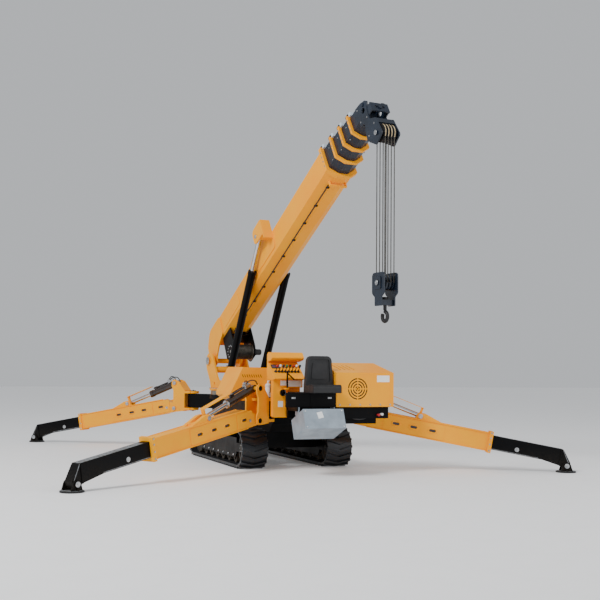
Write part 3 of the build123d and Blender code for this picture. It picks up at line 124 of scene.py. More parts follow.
def corner_places(name):
    """Swing hinge, arm, foot and cylinder places of one outrigger, and its cylinder's length.

    The arm slopes by asin(drop / reach) until its foot stands on the floor. The cylinder points from
    its pin on the bracket, RAM_RISE above the arm's pin, at the rod's eye on the arm.
    """
    x, y, azimuth, reach = CORNERS[name]
    slope = np.degrees(np.arcsin((ARM_PIVOT_Z - FOOT_PIN_Z - FOOT_PIN_DROP) / reach))
    hinge = MACHINE @ shift(x, y) @ turn(azimuth, "Z")
    arm = hinge @ shift(PIN_OFFSET, 0, ARM_PIVOT_Z) @ turn(slope, "Y")
    foot = arm @ shift(reach, 0, -FOOT_PIN_DROP) @ turn(-slope, "Y")
    a = np.radians(slope)
    run_x = ROD_EYE_X * np.cos(a) + ROD_EYE_Z * np.sin(a)
    run_z = -ROD_EYE_X * np.sin(a) + ROD_EYE_Z * np.cos(a) - RAM_RISE
    ram_slope = np.degrees(np.arctan2(-run_z, run_x))
    ram = hinge @ shift(PIN_OFFSET, 0, ARM_PIVOT_Z + RAM_RISE) @ turn(ram_slope, "Y")
    return hinge, arm, foot, ram, np.hypot(run_x, run_z)


# %% [markdown]
# ## Colours and one way to build a material
# Paint charts and photographs give colours as sRGB, and Blender's sockets want linear light, so one
# function converts every hex value. A material is a small graph, and one more function adds a node
# with its settings and links, which keeps each recipe a few lines long.

# %% Colour and node helpers
SPECK_MM, COAT_ROUGHNESS = 25.0, 0.12


def linear(code):
    """sRGB hex to linear RGBA: (c / 12.92) in the toe and ((c + 0.055) / 1.055) ** 2.4 above it."""
    c = np.array([int(code[i:i + 2], 16) for i in (1, 3, 5)]) / 255
    value = np.where(c <= 0.04045, c / 12.92, ((c + 0.055) / 1.055) ** 2.4)
    return (*value.tolist(), 1.0)


def add(material, kind, settings=None, inputs=None):
    """Adds a node. A tuple (node, output) among the inputs is a link, anything else is a value."""
    node = material.node_tree.nodes.new(kind)
    for name, value in (settings or {}).items():
        setattr(node, name, value)
    for name, value in (inputs or {}).items():
        if isinstance(value, tuple) and isinstance(value[0], bpy.types.Node):
            material.node_tree.links.new(value[0].outputs[value[1]], node.inputs[name])
        else:
            node.inputs[name].default_value = value
    return node


def ramp(material, factor, stops):
    """Colour ramp from a list of (place, hex)."""
    node = add(material, "ShaderNodeValToRGB", inputs={"Fac": factor})
    elements = node.color_ramp.elements
    while len(elements) < len(stops):
        elements.new(0.5)
    for element, (place, code) in zip(elements, stops):
        element.position = place
        element.color = linear(code)
    return (node, "Color")


def finish_of(name, colour, worn, roughness, metallic=0.0, coat=0.0, grain_mm=2.0, grain_depth=0.02,
              patch_mm=400.0, dust=0.0, dust_top=0.7, dust_colour="#8A7B66", shine=0.5):
    """Paint, cast or moulded finish: large soft patches of colour, fine grain in the bump, dust low down.

    The patch noise repeats about every patch_mm and drifts the colour from worn to colour. The grain
    noise repeats every grain_mm and lifts the surface by grain_depth mm. Dust fades from the ground
    to dust_top metres.
    """
    m = bpy.data.materials.new(name)
    m.use_nodes = True
    m.node_tree.nodes.clear()
    place = add(m, "ShaderNodeTexCoord")
    patches = add(m, "ShaderNodeTexNoise", inputs={
        "Vector": (place, "Object"), "Scale": 1000 / patch_mm, "Detail": 5.0, "Roughness": 0.6})
    colour_out = ramp(m, (patches, "Fac"), [(0.34, worn), (0.62, colour)])
    rough = add(m, "ShaderNodeMapRange", inputs={
        "Value": (patches, "Fac"), "From Min": 0.3, "From Max": 0.7,
        "To Min": min(roughness + 0.1, 1.0), "To Max": max(roughness - 0.05, 0.03)})
    rough_out = (rough, "Result")
    if dust > 0:
        height = add(m, "ShaderNodeSeparateXYZ", inputs={"Vector": (place, "Object")})
        fade = add(m, "ShaderNodeMapRange", inputs={
            "Value": (height, "Z"), "From Min": 0.0, "From Max": dust_top, "To Min": dust, "To Max": 0.0})
        specks = add(m, "ShaderNodeTexNoise", inputs={
            "Vector": (place, "Object"), "Scale": 1000 / SPECK_MM, "Detail": 6.0, "Roughness": 0.7})
        speckled = add(m, "ShaderNodeMapRange", inputs={
            "Value": (specks, "Fac"), "From Min": 0.35, "From Max": 0.65})
        amount = add(m, "ShaderNodeMath", {"operation": "MULTIPLY"}, {
            0: (fade, "Result"), 1: (speckled, "Result")})
        mixed = add(m, "ShaderNodeMix", {"data_type": "RGBA"}, {
            0: (amount, "Value"), 6: colour_out, 7: linear(dust_colour)})
        colour_out = (mixed, 2)
        rougher = add(m, "ShaderNodeMath", {"operation": "MULTIPLY_ADD", "use_clamp": True}, {
            0: (amount, "Value"), 1: 0.5, 2: rough_out})
        rough_out = (rougher, "Value")
    grain = add(m, "ShaderNodeTexNoise", inputs={
        "Vector": (place, "Object"), "Scale": 1000 / grain_mm, "Detail": 3.0})
    bump = add(m, "ShaderNodeBump", inputs={
        "Strength": 1.0, "Distance": grain_depth / 1000, "Height": (grain, "Fac")})
    shader = add(m, "ShaderNodeBsdfPrincipled", inputs={
        "Base Color": colour_out, "Roughness": rough_out, "Normal": (bump, "Normal"),
        "Metallic": metallic, "Specular IOR Level": shine, "Coat Weight": coat,
        "Coat Roughness": COAT_ROUGHNESS})
    add(m, "ShaderNodeOutputMaterial", inputs={"Surface": (shader, "BSDF")})
    m.diffuse_color = linear(colour)
    return m


# %% [markdown]
# ## The finishes
# Machine paint is a two-pack polyurethane enamel sprayed over primer: glossy, with a faint orange
# peel a few millimetres across. Tracks are carbon-black natural rubber moulded in a press, dull
# and dusty near the ground. Piston rods are hard chrome, ground along their length.

# %% Finishes
yellow_enamel = finish_of("yellow_polyurethane_enamel", "#FFAA00", "#FFA000", 0.42, shine=0.2,
                          grain_mm=4, grain_depth=0.03, patch_mm=700)
yellow_leg = finish_of("yellow_leg_enamel", "#FFAE00", "#FFA400", 0.42, shine=0.2, grain_mm=4,
                       grain_depth=0.03, patch_mm=500)
blue_black_enamel = finish_of("blue_black_enamel", "#142030", "#0E1824", 0.38, shine=0.4, coat=0.15,
                              grain_mm=4, grain_depth=0.03, patch_mm=300)
black_enamel = finish_of("black_enamel", "#060608", "#030304", 0.42, shine=0.12, grain_mm=4,
                         grain_depth=0.04, patch_mm=250, dust=0.08, dust_top=0.4)
# The rubber's slight blue tint is a painted bluish sheen on the lugs; the dust near the ground is real.
track_rubber = finish_of("moulded_track_rubber", "#171A20", "#0E1014", 0.38, grain_mm=5, grain_depth=0.1,
                         patch_mm=160, dust=0.1, dust_top=0.3, dust_colour="#5E574C")
# Worn steel for the inner arms' tops, where their paint is worn; it also serves for painted highlights on
# their lower edges and toes and a painted sheen on the pads' tops.
worn_steel_and_highlight = finish_of("worn_steel_and_painted_highlight", "#8A8E92", "#5E5A55", 0.5, metallic=0.3, grain_mm=3,
                       grain_depth=0.05, patch_mm=60)
# Brown-black enamel also serves as the painted shade inside the arms' oval openings.
brown_enamel = finish_of("brown_black_enamel", "#2C1D15", "#1B120D", 0.26, coat=0.5, grain_mm=4,
                         grain_depth=0.03, patch_mm=200)
cast_steel = finish_of("painted_cast_steel", "#2A2A2C", "#1C1B1B", 0.6, metallic=0.2, grain_mm=3,
                       grain_depth=0.2, patch_mm=120, dust=0.5, dust_top=0.6)
bare_steel = finish_of("machined_steel", "#A6A198", "#7C766C", 0.34, metallic=1.0, grain_mm=1.5,
                       grain_depth=0.02, patch_mm=90)
hard_chrome = finish_of("ground_hard_chrome", "#D9DADC", "#C3C5C8", 0.12, metallic=1.0, grain_mm=0.8,
                        grain_depth=0.004, patch_mm=200)
wire_rope = finish_of("greased_wire_rope", "#55524C", "#3A3733", 0.5, metallic=0.8, grain_mm=2.5,
                      grain_depth=0.5, patch_mm=60)
cream_rope = finish_of("greased_rope", "#D9C49A", "#B79E70", 0.5, metallic=0.2, grain_mm=2, grain_depth=0.2,
                       patch_mm=60)
seat_vinyl = finish_of("black_seat_vinyl", "#1B1B1D", "#131315", 0.5, grain_mm=1.6, grain_depth=0.12,
                       patch_mm=120)
moulded_plastic = finish_of("black_moulded_plastic", "#161617", "#101011", 0.45, grain_mm=1.2,
                            grain_depth=0.05, patch_mm=60)
grey_sheet = finish_of("grey_blue_sheet", "#8C9AA6", "#7C8994", 0.4, coat=0.2, grain_mm=4,
                       grain_depth=0.03, patch_mm=180, dust=0.12, dust_top=1.0)
white_enamel = finish_of("white_bottle_enamel", "#E9E9E6", "#DADAD5", 0.3, coat=0.3, grain_mm=3,
                         grain_depth=0.02, patch_mm=90)
white_film = finish_of("blank_white_film", "#F2F2F0", "#E6E6E3", 0.35, grain_mm=2, grain_depth=0.01)
rubber_hose = finish_of("black_rubber_hose", "#18181A", "#101012", 0.5, grain_mm=2, grain_depth=0.05)
zinc = finish_of("bright_zinc_plate", "#C9CACB", "#9FA1A3", 0.3, metallic=1.0, grain_mm=1, grain_depth=0.01,
                 patch_mm=40)
# Dark backing in the openings of the grille, louvres and slots: painted shade seen through them.
opening_shade = finish_of("painted_opening_shade", "#0D0C0B", "#060606", 0.8, grain_mm=4, grain_depth=0.6)
display_glass = finish_of("dark_display_glass", "#5B5570", "#3A3648", 0.1, coat=1.0, grain_mm=4,
                          grain_depth=0.005)
pale_nylon = finish_of("pale_nylon_pad", "#C9D4DE", "#B4C0CC", 0.4, grain_mm=2, grain_depth=0.03)
red_plastic = finish_of("red_plastic", "#B3121B", "#98101A", 0.35, coat=0.2, grain_mm=1, grain_depth=0.01)
green_plastic = finish_of("green_plastic", "#1F7A45", "#17603A", 0.35, coat=0.2, grain_mm=1,
                          grain_depth=0.01)

# %% Finish for each carried-over solid
by_node = {
    "main_frame": black_enamel, "track_frames": black_enamel, "track_left": track_rubber,
    "track_right": track_rubber, "running_gear": cast_steel, "front_subframe": black_enamel,
    "engine_cover": yellow_enamel, "engine": cast_steel, "side_housing": yellow_enamel,
    "console": yellow_enamel, "console_hood": yellow_enamel, "control_levers": moulded_plastic,
    "brace_post": black_enamel, "work_lamp": hard_chrome, "extinguisher": white_enamel,
    "seat_base": black_enamel, "seat": seat_vinyl, "foot_box": grey_sheet, "slew_ring": bare_steel,
    "column": yellow_enamel, "boom_base": yellow_enamel, "boom_section_2": blue_black_enamel,
    "boom_section_3": blue_black_enamel, "boom_section_4": blue_black_enamel,
    "boom_section_5": blue_black_enamel, "boom_head": blue_black_enamel, "head_sheaves": cast_steel,
    "winch_frame": black_enamel, "winch_drum": bare_steel, "hoist_ropes": wire_rope,
    "hook_block": blue_black_enamel, "hook": cast_steel, "lift_barrels": black_enamel,
    "lift_rods": hard_chrome,
}
for corner in CORNERS:
    by_node[f"{corner}_bracket"] = yellow_leg
    by_node[f"{corner}_arm"] = yellow_leg
    by_node[f"{corner}_inner_arm"] = black_enamel
    by_node[f"{corner}_foot"] = black_enamel
    by_node[f"{corner}_barrel"] = brown_enamel
    by_node[f"{corner}_rod"] = hard_chrome
for name, material in by_node.items():
    mesh = nodes[name].data
    mesh.materials.clear()
    mesh.materials.append(material)
print("finished solids", len(by_node))

# %% [markdown]
# ## Shapes drawn by formula
# Every added piece is a stack of closed loops in millimetres: a turned part is a profile carried
# round Z, a hose is a circle carried along a curve, a plate is a rounded rectangle in a few
# thicknesses. Copies are joined into one mesh, which rides on the body that carries it.

# %% Shapes
def grid_mesh(name, points, faces, material, smooth=False):
    """Mesh object from an (n, 3) array of points in metres and an (m, k) array of faces."""
    mesh = bpy.data.meshes.new(name)
    mesh.from_pydata(points.tolist(), [], faces.tolist())
    mesh.update()
    if smooth:
        mesh.shade_smooth()
    mesh.materials.append(material)
    piece = bpy.data.objects.new(name, mesh)
    bpy.context.scene.collection.objects.link(piece)
    return piece


def rings(loops):
    """Quads between closed loops, a (k, n, 3) array; a loop drawn to one point closes an end."""
    k, n, _ = loops.shape
    row, column = [v.ravel() for v in np.meshgrid(np.arange(k - 1), np.arange(n), indexing="ij")]
    after = (column + 1) % n
    faces = np.stack([row * n + column, row * n + after, (row + 1) * n + after, (row + 1) * n + column], 1)
    return loops.reshape(-1, 3), faces


def lathe(profile, sides=24):
    """Surface of revolution: (r cos a, r sin a, z) for each (r, z) of the profile."""
    a = np.linspace(0, 2 * np.pi, sides, endpoint=False)
    r, z = np.array(profile, float).T[:, :, None]
    return rings(np.stack([r * np.cos(a), r * np.sin(a), z + 0 * a], 2))


def plate(wide, high, thick, corner, edge=1.5):
    """Rounded plate: four quarter circles of radius corner, with its rim drawn in by edge."""
    a = np.linspace(0, 2 * np.pi, 24, endpoint=False) + np.pi / 24
    sx, sy = np.sign(np.cos(a)), np.sign(np.sin(a))
    loops = []
    for inset, z in ((0, 0), (0, thick - edge), (edge, thick)):
        r = max(corner - inset, 0.1)
        x = sx * (wide / 2 - inset - r) + r * np.cos(a)
        y = sy * (high / 2 - inset - r) + r * np.sin(a)
        loops.append(np.stack([x, y, z + 0 * a], 1))
    closed = [loops[0] * (0, 0, 1)] + loops + [loops[2] * (0, 0, 1)]
    return rings(np.array(closed))


def oval_ring(long, high, wide, proud):
    """Stadium-shaped bead: half circles of high / 2 joined by straights, drawn in by wide."""
    a = np.linspace(0, 2 * np.pi, 32, endpoint=False) + np.pi / 32
    loops = []
    for inset, z in ((0, -1), (0.15 * wide, 0.8 * proud), (0.35 * wide, proud), (0.65 * wide, proud),
                     (0.9 * wide, 0.7 * proud), (wide, -1)):
        r = high / 2 - inset
        x = np.sign(np.cos(a)) * (long - high) / 2 + r * np.cos(a)
        loops.append(np.stack([x, r * np.sin(a), z + 0 * a], 1))
    return rings(np.array(loops))


def prism(outline, low, high, along="y"):
    """Straight block between two values of one axis, its outline given in the other two axes."""
    outline = np.array(outline, float)
    if along == "y":
        outline = outline[::-1]
    column = "xyz".index(along)
    loops = [np.insert(points, column, level, axis=1) for points, level in (
        (outline * 0 + outline.mean(0), low), (outline, low), (outline, high),
        (outline * 0 + outline.mean(0), high))]
    return rings(np.array(loops))


def box_shape(x0, x1, y0, y1, z0, z1):
    """Plain block between two corners."""
    return prism([(x0, y0), (x1, y0), (x1, y1), (x0, y1)], z0, z1, "z")


def hose(points, radius, sides=10, steps=10):
    """Round hose along a Catmull-Rom curve through the points, its ring kept square to the curve."""
    p = np.array(points, float)
    p = np.concatenate([[2 * p[0] - p[1]], p, [2 * p[-1] - p[-2]]])
    t = np.linspace(0, 1, steps, endpoint=False)[:, None]
    runs = []
    for a, b, c, d in zip(p, p[1:], p[2:], p[3:]):
        runs.append(0.5 * (2 * b + (c - a) * t + (2 * a - 5 * b + 4 * c - d) * t**2
                           + (3 * b - a - 3 * c + d) * t**3))
    path = np.concatenate(runs + [p[-2:-1]])
    way = np.gradient(path, axis=0)
    way /= np.linalg.norm(way, axis=1)[:, None]
    normal = np.cross(way[0], (0, 0, 1) if abs(way[0, 2]) < 0.9 else (1, 0, 0))
    angle = np.linspace(0, 2 * np.pi, sides, endpoint=False)[:, None]
    loops = [np.repeat(path[:1], sides, 0)]
    for centre, along in zip(path, way):
        normal = normal - along * (normal @ along)
        normal /= np.linalg.norm(normal)
        circle = np.cos(angle) * normal + np.sin(angle) * np.cross(along, normal)
        loops.append(centre + radius * circle)
    loops.append(np.repeat(path[-1:], sides, 0))
    return rings(np.array(loops))


def join(*shapes):
    """Several shapes as one."""
    points, faces, start = [], [], 0
    for p, f in shapes:
        points.append(p)
        faces.append(f + start)
        start += len(p)
    return np.concatenate(points), np.concatenate(faces)


def moved(shape, x=0, y=0, z=0):
    """A shape shifted by millimetres."""
    return shape[0] + (x, y, z), shape[1]


def bolt(size):
    """Hexagon head on a washer, size being the head's corner radius."""
    washer = lathe([(0, 0), (1.3 * size, 0), (1.3 * size, 0.18 * size), (0, 0.18 * size)], 18)
    head = lathe([(0, 0), (0.92 * size, 0), (size, 0.1 * size), (size, 0.68 * size),
                  (0.88 * size, 0.8 * size), (0, 0.8 * size)], 6)
    return join(washer, head)


def placed(name, shape, places, material, crease=35):
    """Joins copies of a shape at the given matrices into one mesh object."""
    points = np.c_[shape[0] / 1000, np.ones(len(shape[0]))]
    copies = [(points @ np.array(place).T)[:, :3] for place in places]
    faces = np.concatenate([shape[1] + i * len(points) for i in range(len(copies))])
    piece = grid_mesh(name, np.concatenate(copies), faces, material, smooth=True)
    piece.data.set_sharp_from_angle(angle=np.radians(crease))
    return piece


def attach(name, shape, places, material, body="chassis", crease=35):
    """Placed copies of a shape as one piece that rides on a body, the chassis if none is named."""
    piece = placed(name, shape, places, material, crease)
    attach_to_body(piece, body)
    return piece


# %% [markdown]
# ## Engine cover
# A sheet box lifts off over the engine. M10 screws with washers hold its lower edge. A dark disc behind
# the ring grille and dark arcs in its slots are painted shade, and so are dark plates behind the roof
# louvres and the housing's slots. A blank plate and two over-centre latches sit on its sides.

# %% Engine cover
COVER_X, COVER_Y0, COVER_Y1 = 2750, 132, 1096
COVER_SCREW_Z = 1062
GRILLE_Y, GRILLE_Z = 489, 1301
GRILLE_ARC_WIDTH, GRILLE_SPOKE_HALF = 18, 7
ROOF_SLOPE = 11.8
attach("cover_screws", bolt(11), [on_front(COVER_X, y, COVER_SCREW_Z)
                                  for y in np.linspace(COVER_Y0 + 60, COVER_Y1 - 60, 6)], zinc)
attach("cover_side_screws", bolt(11), [MACHINE @ shift(x, COVER_Y1, COVER_SCREW_Z) @ TO_LEFT
                                       for x in np.linspace(2090, 2690, 4)], zinc)
# Dark disc behind the ring grille: painted shade seen through its slots.
attach("grille_shade_disc", lathe([(0, 0), (176, 0), (176, 3), (0, 3)], 48),
       [on_front(COVER_X - 17, GRILLE_Y, GRILLE_Z)], opening_shade)
# Dark arcs just inside the grille's slots: painted shade in the slots.
grille_shade_arcs = []
for radius in (40.5, 81, 121.5, 162):
    gap = np.degrees(GRILLE_SPOKE_HALF / radius)
    section = ((radius, -4), (radius, -1), (radius - GRILLE_ARC_WIDTH, -1), (radius - GRILLE_ARC_WIDTH, -4))
    for quarter in range(4):
        sweep = np.radians(np.linspace(90 * quarter + gap, 90 * quarter + 90 - gap, 18))
        loops = np.array([[(r * np.cos(a), r * np.sin(a), z) for r, z in section] for a in sweep])
        ends = [loops[i].mean(0) + np.zeros((1, 4, 3)) for i in (0, -1)]
        grille_shade_arcs.append(rings(np.concatenate([ends[0], loops, ends[1]])))
attach("grille_slot_shade", join(*grille_shade_arcs), [on_front(COVER_X, GRILLE_Y, GRILLE_Z)], opening_shade)
attach("blank_cover_plate", plate(100, 212, 2, 6), [on_front(COVER_X, 918, 1455)], white_film)
# Dark plate under the roof louvres: painted shade seen through them.
attach("roof_louvre_shade", plate(360, 320, 3, 8),
       [MACHINE @ shift(2390, 394.5, 1590) @ turn(ROOF_SLOPE, "Y")], opening_shade)
latch = join(plate(26, 64, 7, 8), moved(plate(14, 40, 8, 6), 0, -6, 7),
             moved(lathe([(0, 0), (6, 0), (6, 18), (0, 18)], 12), 0, 22))
# Dark plate behind the side housing's slots: painted shade seen through them.
attach("housing_slot_shade", plate(66, 350, 2, 4), [on_front(1289, -708, 1472)], opening_shade)
attach("cover_latches", latch, [MACHINE @ shift(x, COVER_Y1, 1240) @ TO_LEFT @ turn(90, "Z")
                                for x in (2170, 2600)], zinc)

# %% [markdown]
# ## Console and seat base
# The console is a shallow box behind its sloping panel, carried by one wide leg, and a folded lid
# covers it. The seat stands on a black skirt with a narrower box behind it, clear of the leg. Each
# piece here replaces a deeper solid, which would hide the leg, the lamp and the bottle.

# %% Console and seat base
CONSOLE_BACK, LEG_BACK, LEG_FRONT = 1700, 1860, 1970
BASE_FRONT, BASE_FLOOR = 2760, 1028.3
console = attach("console_shell", join(
    prism([(CONSOLE_BACK, 1420), (LEG_FRONT, 1420), (2076, 1438), (2080, 1442), (1722, 1700),
           (CONSOLE_BACK, 1700)], -600, -100),
    prism([(-568, 840), (-392, 840), (-372, 860), (-372, 1425), (-588, 1425), (-588, 860)],
          LEG_BACK, LEG_FRONT, "x"),
    box_shape(LEG_BACK, LEG_FRONT, -380, -175.3, 840, 980),
    box_shape(CONSOLE_BACK, LEG_BACK, -300, -100, 1080.3, 1425),
    box_shape(CONSOLE_BACK, LEG_BACK, -175, -100, 985.3, 1090),
    box_shape(1965, 2109, -424, -384, 1276, 1299.7)), [MACHINE], yellow_enamel)
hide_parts("console")
hood = attach("console_lid", prism([
    (CONSOLE_BACK, 1700.3), (1720, 1700.3), (1876, 1727), (1889, 1732), (1919, 1756), (1921, 1770),
    (1866, 1834), (1836, 1850), (1750, 1850), (CONSOLE_BACK, 1812)], -600, -60), [MACHINE], yellow_enamel)
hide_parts("console_hood")
base = attach("seat_base_box", join(
    box_shape(2715, BASE_FRONT, -670, 122, BASE_FLOOR, 1242),
    box_shape(2150, 2716, -420, 122, BASE_FLOOR, 1241.6),
    box_shape(2170, 2766, -288, -260, 1028.5, 1232)), [MACHINE], black_enamel)
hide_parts("seat_base")
carrier = attach("carrier_frame", join(
    box_shape(1250, 2040, -175, 175, 800, 985),
    box_shape(2030, 2300, -390, 1036, 850, 1028),
    box_shape(2299, 2345, -490, 214, 850, 1028),
    box_shape(2295, 2690, 215, 1036, 850, 1028),
    box_shape(2300, 2630, 215, 856, 770, 860),
    *[box_shape(2295, 2730, y - 30, y + 30, 968, 1028) for y in (-460, -200)]), [MACHINE], black_enamel)
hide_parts("front_subframe")

# %% [markdown]
# ## Operator's place
# The sloping panel carries lever boots, knobs, a small display and a red stop button, all blank.
# A label band hangs below it, and a blank sticker and a round lamp sit on the console's leg.

# %% Operator's place
PANEL_SLOPE = np.degrees(np.arctan2(1700 - 1440, 2080 - 1720))
PANEL = MACHINE @ shift(1936, -350, 1544) @ turn(PANEL_SLOPE, "Y")
LEVERS = [-190 + 54 * i for i in range(8)]
KNOB_RISE = 118
boot = lathe([(0, 0), (25, 0), (25, 4), (21, 8), (22, 12), (17, 17), (18, 21), (12, 28), (7.4, 34),
              (0, 34)], 20)
attach("lever_boots", boot, [PANEL @ shift(0, y, 0.3) for y in LEVERS], rubber_hose)
knob = lathe([(0, -20), (14, -20), (18.5, -8), (19.5, 4), (15, 15), (7, 20), (0, 21)], 20)
for label, picks, material in (("red", (0, 5), red_plastic), ("green", (3,), green_plastic),
                               ("white", (1, 6), white_enamel), ("black", (2, 4, 7), moulded_plastic)):
    attach(f"lever_knobs_{label}", knob, [PANEL @ shift(0, LEVERS[i], KNOB_RISE) for i in picks], material)
DISPLAY_X, DISPLAY_Y, BEZEL = -136, -155, 10
attach("display_bezel", plate(96, 140, BEZEL, 10), [PANEL @ shift(DISPLAY_X, DISPLAY_Y)], moulded_plastic)
attach("display_screen", plate(74, 118, 3, 4), [PANEL @ shift(DISPLAY_X, DISPLAY_Y, BEZEL - 1)],
       display_glass)
button = lathe([(0, 0), (24, 0), (24, 8), (14, 10), (13, 22), (20, 24), (21, 32), (16, 38), (0, 39)], 28)
attach("stop_button", button, [PANEL @ shift(-130, 190)], red_plastic)
switch = lathe([(0, 0), (13, 0), (13, 5), (5, 7), (4, 20), (0, 22)], 16)
attach("panel_switches", switch,
       [PANEL @ shift(x, y) for x in (-155, -112) for y in (-40, 0, 40, 80, 120)], zinc)
attach("panel_screws", bolt(6), [PANEL @ shift(x, y) for x in (-190, 150) for y in (-230, 0, 230)], zinc)
LABEL_BAND = 8
for name, wide, high, thick, place, material in (
        ("label_panel", 118, 380, LABEL_BAND, (LEG_FRONT, -294, 1362), yellow_enamel),
        ("blank_label_left", 76, 104, 1, (LEG_FRONT + LABEL_BAND, -424, 1372), white_film),
        ("blank_label_right", 96, 220, 1, (LEG_FRONT + LABEL_BAND, -232, 1364), white_film),
        ("blank_leg_sticker", 92, 84, 1, (LEG_FRONT, -466, 1048), white_film)):
    attach(name, plate(wide, high, thick, 6), [on_front(*place)], material)
LAMP_Y, LAMP_Z = -446, 1222
attach("lamp_glass_back", lathe([(0, 0), (40, 0), (40, 2), (0, 2)], 40),
       [on_front(1995.5, LAMP_Y, LAMP_Z)], white_film)
attach("lamp_lens", lathe([(0, 9), (14, 8.4), (28, 6.4), (42, 2), (43.4, 0), (0, 0)], 40),
       [on_front(1998, LAMP_Y, LAMP_Z)], white_film)
HOOD_SLOPE = 48.6
attach("hood_strip", plate(50, 420, 1.5, 4),
       [MACHINE @ shift(1881, -330, 1802) @ turn(HOOD_SLOPE, "Y")], white_film)
BOTTLE_X, BOTTLE_Y, BOTTLE_Z = 1300.3 + 44 + 8, -452, 1135
attach("bottle_label", lathe([(44.2, 82), (44.8, 82.5), (44.8, 157.5), (44.2, 158)], 40),
       [MACHINE @ shift(BOTTLE_X, BOTTLE_Y, BOTTLE_Z)], white_film)
attach("bottle_hose", hose([
    (BOTTLE_X + 20, BOTTLE_Y, 1395), (BOTTLE_X + 66, -440, 1390), (BOTTLE_X + 78, -432, 1330),
    (BOTTLE_X + 62, -436, 1240), (BOTTLE_X + 58, -440, 1200)], 8), [MACHINE], rubber_hose)

# %% Seat and foot box
SEAT_WIDTH, FOOT_BOX_TILT = 450, 22
attach("seat_piping", hose([(2690, -337, 1345), (2800, -339, 1352), (2920, -339, 1362),
                            (2985, -339, 1345)], 5),
       [MACHINE, MACHINE @ shift(0, SEAT_WIDTH, 0)], moulded_plastic)
buckle = join(plate(46, 60, 12, 6), moved(plate(24, 34, 6, 4), 0, 0, 12))
attach("seat_belt_buckle", buckle, [MACHINE @ shift(2760, 113, 1300) @ TO_LEFT], red_plastic)
attach("base_latches", latch, [on_front(BASE_FRONT, y, 1165) for y in (-560, 20)], zinc)
FOOT_BOX = MACHINE @ shift(2960, -165, 1012) @ turn(-FOOT_BOX_TILT, "Y")
attach("blank_box_sticker", plate(96, 88, 1, 6),
       [FOOT_BOX @ shift(0, -62, -95) @ TO_FRONT @ turn(12, "Z")], white_film)
attach("foot_grip_strips", plate(46, 520, 3, 4), [FOOT_BOX @ shift(x) for x in (-90, -170, -250)],
       rubber_hose)
attach("box_screws", bolt(8),
       [FOOT_BOX @ shift(0, y, z) @ TO_FRONT for y in (-290, 290) for z in (-30, -270)], zinc)

# %% [markdown]
# ## Hoses and couplings
# High-pressure hose bends in wide loops between steel ends crimped to it. Two loops hang from the
# tray under the engine cover, beside a red and a white quick coupling.

# %% Hoses on the chassis
attach("tray_hoses", hose([(2640, 330, 900), (2668, 400, 868), (2672, 520, 840), (2668, 640, 850),
                           (2664, 760, 898), (2648, 850, 920)], 11),
       [MACHINE, MACHINE @ shift(-20, 30, 34)], rubber_hose)
crimp = lathe([(0, 0), (15, 0), (17, 4), (17, 34), (14, 38), (14, 44), (20, 46), (20, 62), (0, 62)], 18)
attach("coupling_red", crimp, [on_front(2690, 850, 905)], red_plastic)
attach("coupling_white", crimp, [on_front(2690, 905, 915)], white_enamel)
attach("frame_hoses", hose([(1240, -250, 1100), (1330, -262, 1112), (1420, -292, 1102), (1500, -340, 1098),
                            (1560, -420, 1102)], 12), [MACHINE, MACHINE @ shift(0, 30, 4)], rubber_hose)

# %% [markdown]
# ## Undercarriage fittings
# Bolts along the lower edge of each track frame hold the rollers, and a cap covers each axle's end.

# %% Undercarriage
BEAM_FACE, ROLLER_BOLT_Z = 728 + 125, 186
AXLES = ((-1268, 318), (1268, 318))
attach("roller_bolts", bolt(13),
       on_sides(MACHINE, BEAM_FACE, *[(x, ROLLER_BOLT_Z) for x in np.linspace(-840, 840, 7)]), zinc)
cap = lathe([(0, 20), (34, 20), (52, 16), (62, 12), (66, 8), (66, 0), (0, 0)], 40)
attach("axle_caps", cap, on_sides(MACHINE, BEAM_FACE, *AXLES), cast_steel)
attach("axle_cap_bolts", bolt(7), [place @ turn(60 * i, "Z") @ shift(54)
                                   for place in on_sides(MACHINE, BEAM_FACE + 12, *AXLES)
                                   for i in range(6)], zinc)

# %% [markdown]
# ## Outriggers
# Pins are held by round end plates with one bolt; the bracket's plates on the right-front corner are
# black, a painted dark reflection. Each cylinder has a valve block with three hoses, and a folded sheet
# guards its rod. Beads frame the arm's oval openings, with dark plates inside them as painted shade.
# A rubber ring runs round each pad, with a pale ring on its top as a painted sheen. The inner arm's paint
# is worn on top where it slides, and pale strips along its lower side edges and its toe are painted
# highlights.

# %% Outrigger fittings
EAR_FACE = 115 + 22 + 12
ARM_HALF, COLLAR_HALF, INNER_HALF, ROD_EYE_HALF, FOOT_HALF = 107.5, 130, 75, 110, 111
COLLAR_X = 2214
OVALS = [(x, 74) for x in (310, 700, 985, 1290)]
pin_cap = join(lathe([(0, 0), (36, 0), (38, 2), (38, 7), (36, 9), (0, 9)], 32), moved(bolt(11), 0, 0, 9))
top_cap = join(lathe([(0, 0), (54, 0), (56, 2), (56, 8), (53, 11), (0, 11)], 36), moved(bolt(14), 0, 0, 11))
arm_bolt = join(lathe([(0, 0), (24, 0), (25, 2), (25, 5), (0, 6)], 24), moved(bolt(12), 0, 0, 5))
pad_ring = lathe([(149, 0), (158, 2), (160, 9), (158, 17), (151, 20), (148, 19)], 64)
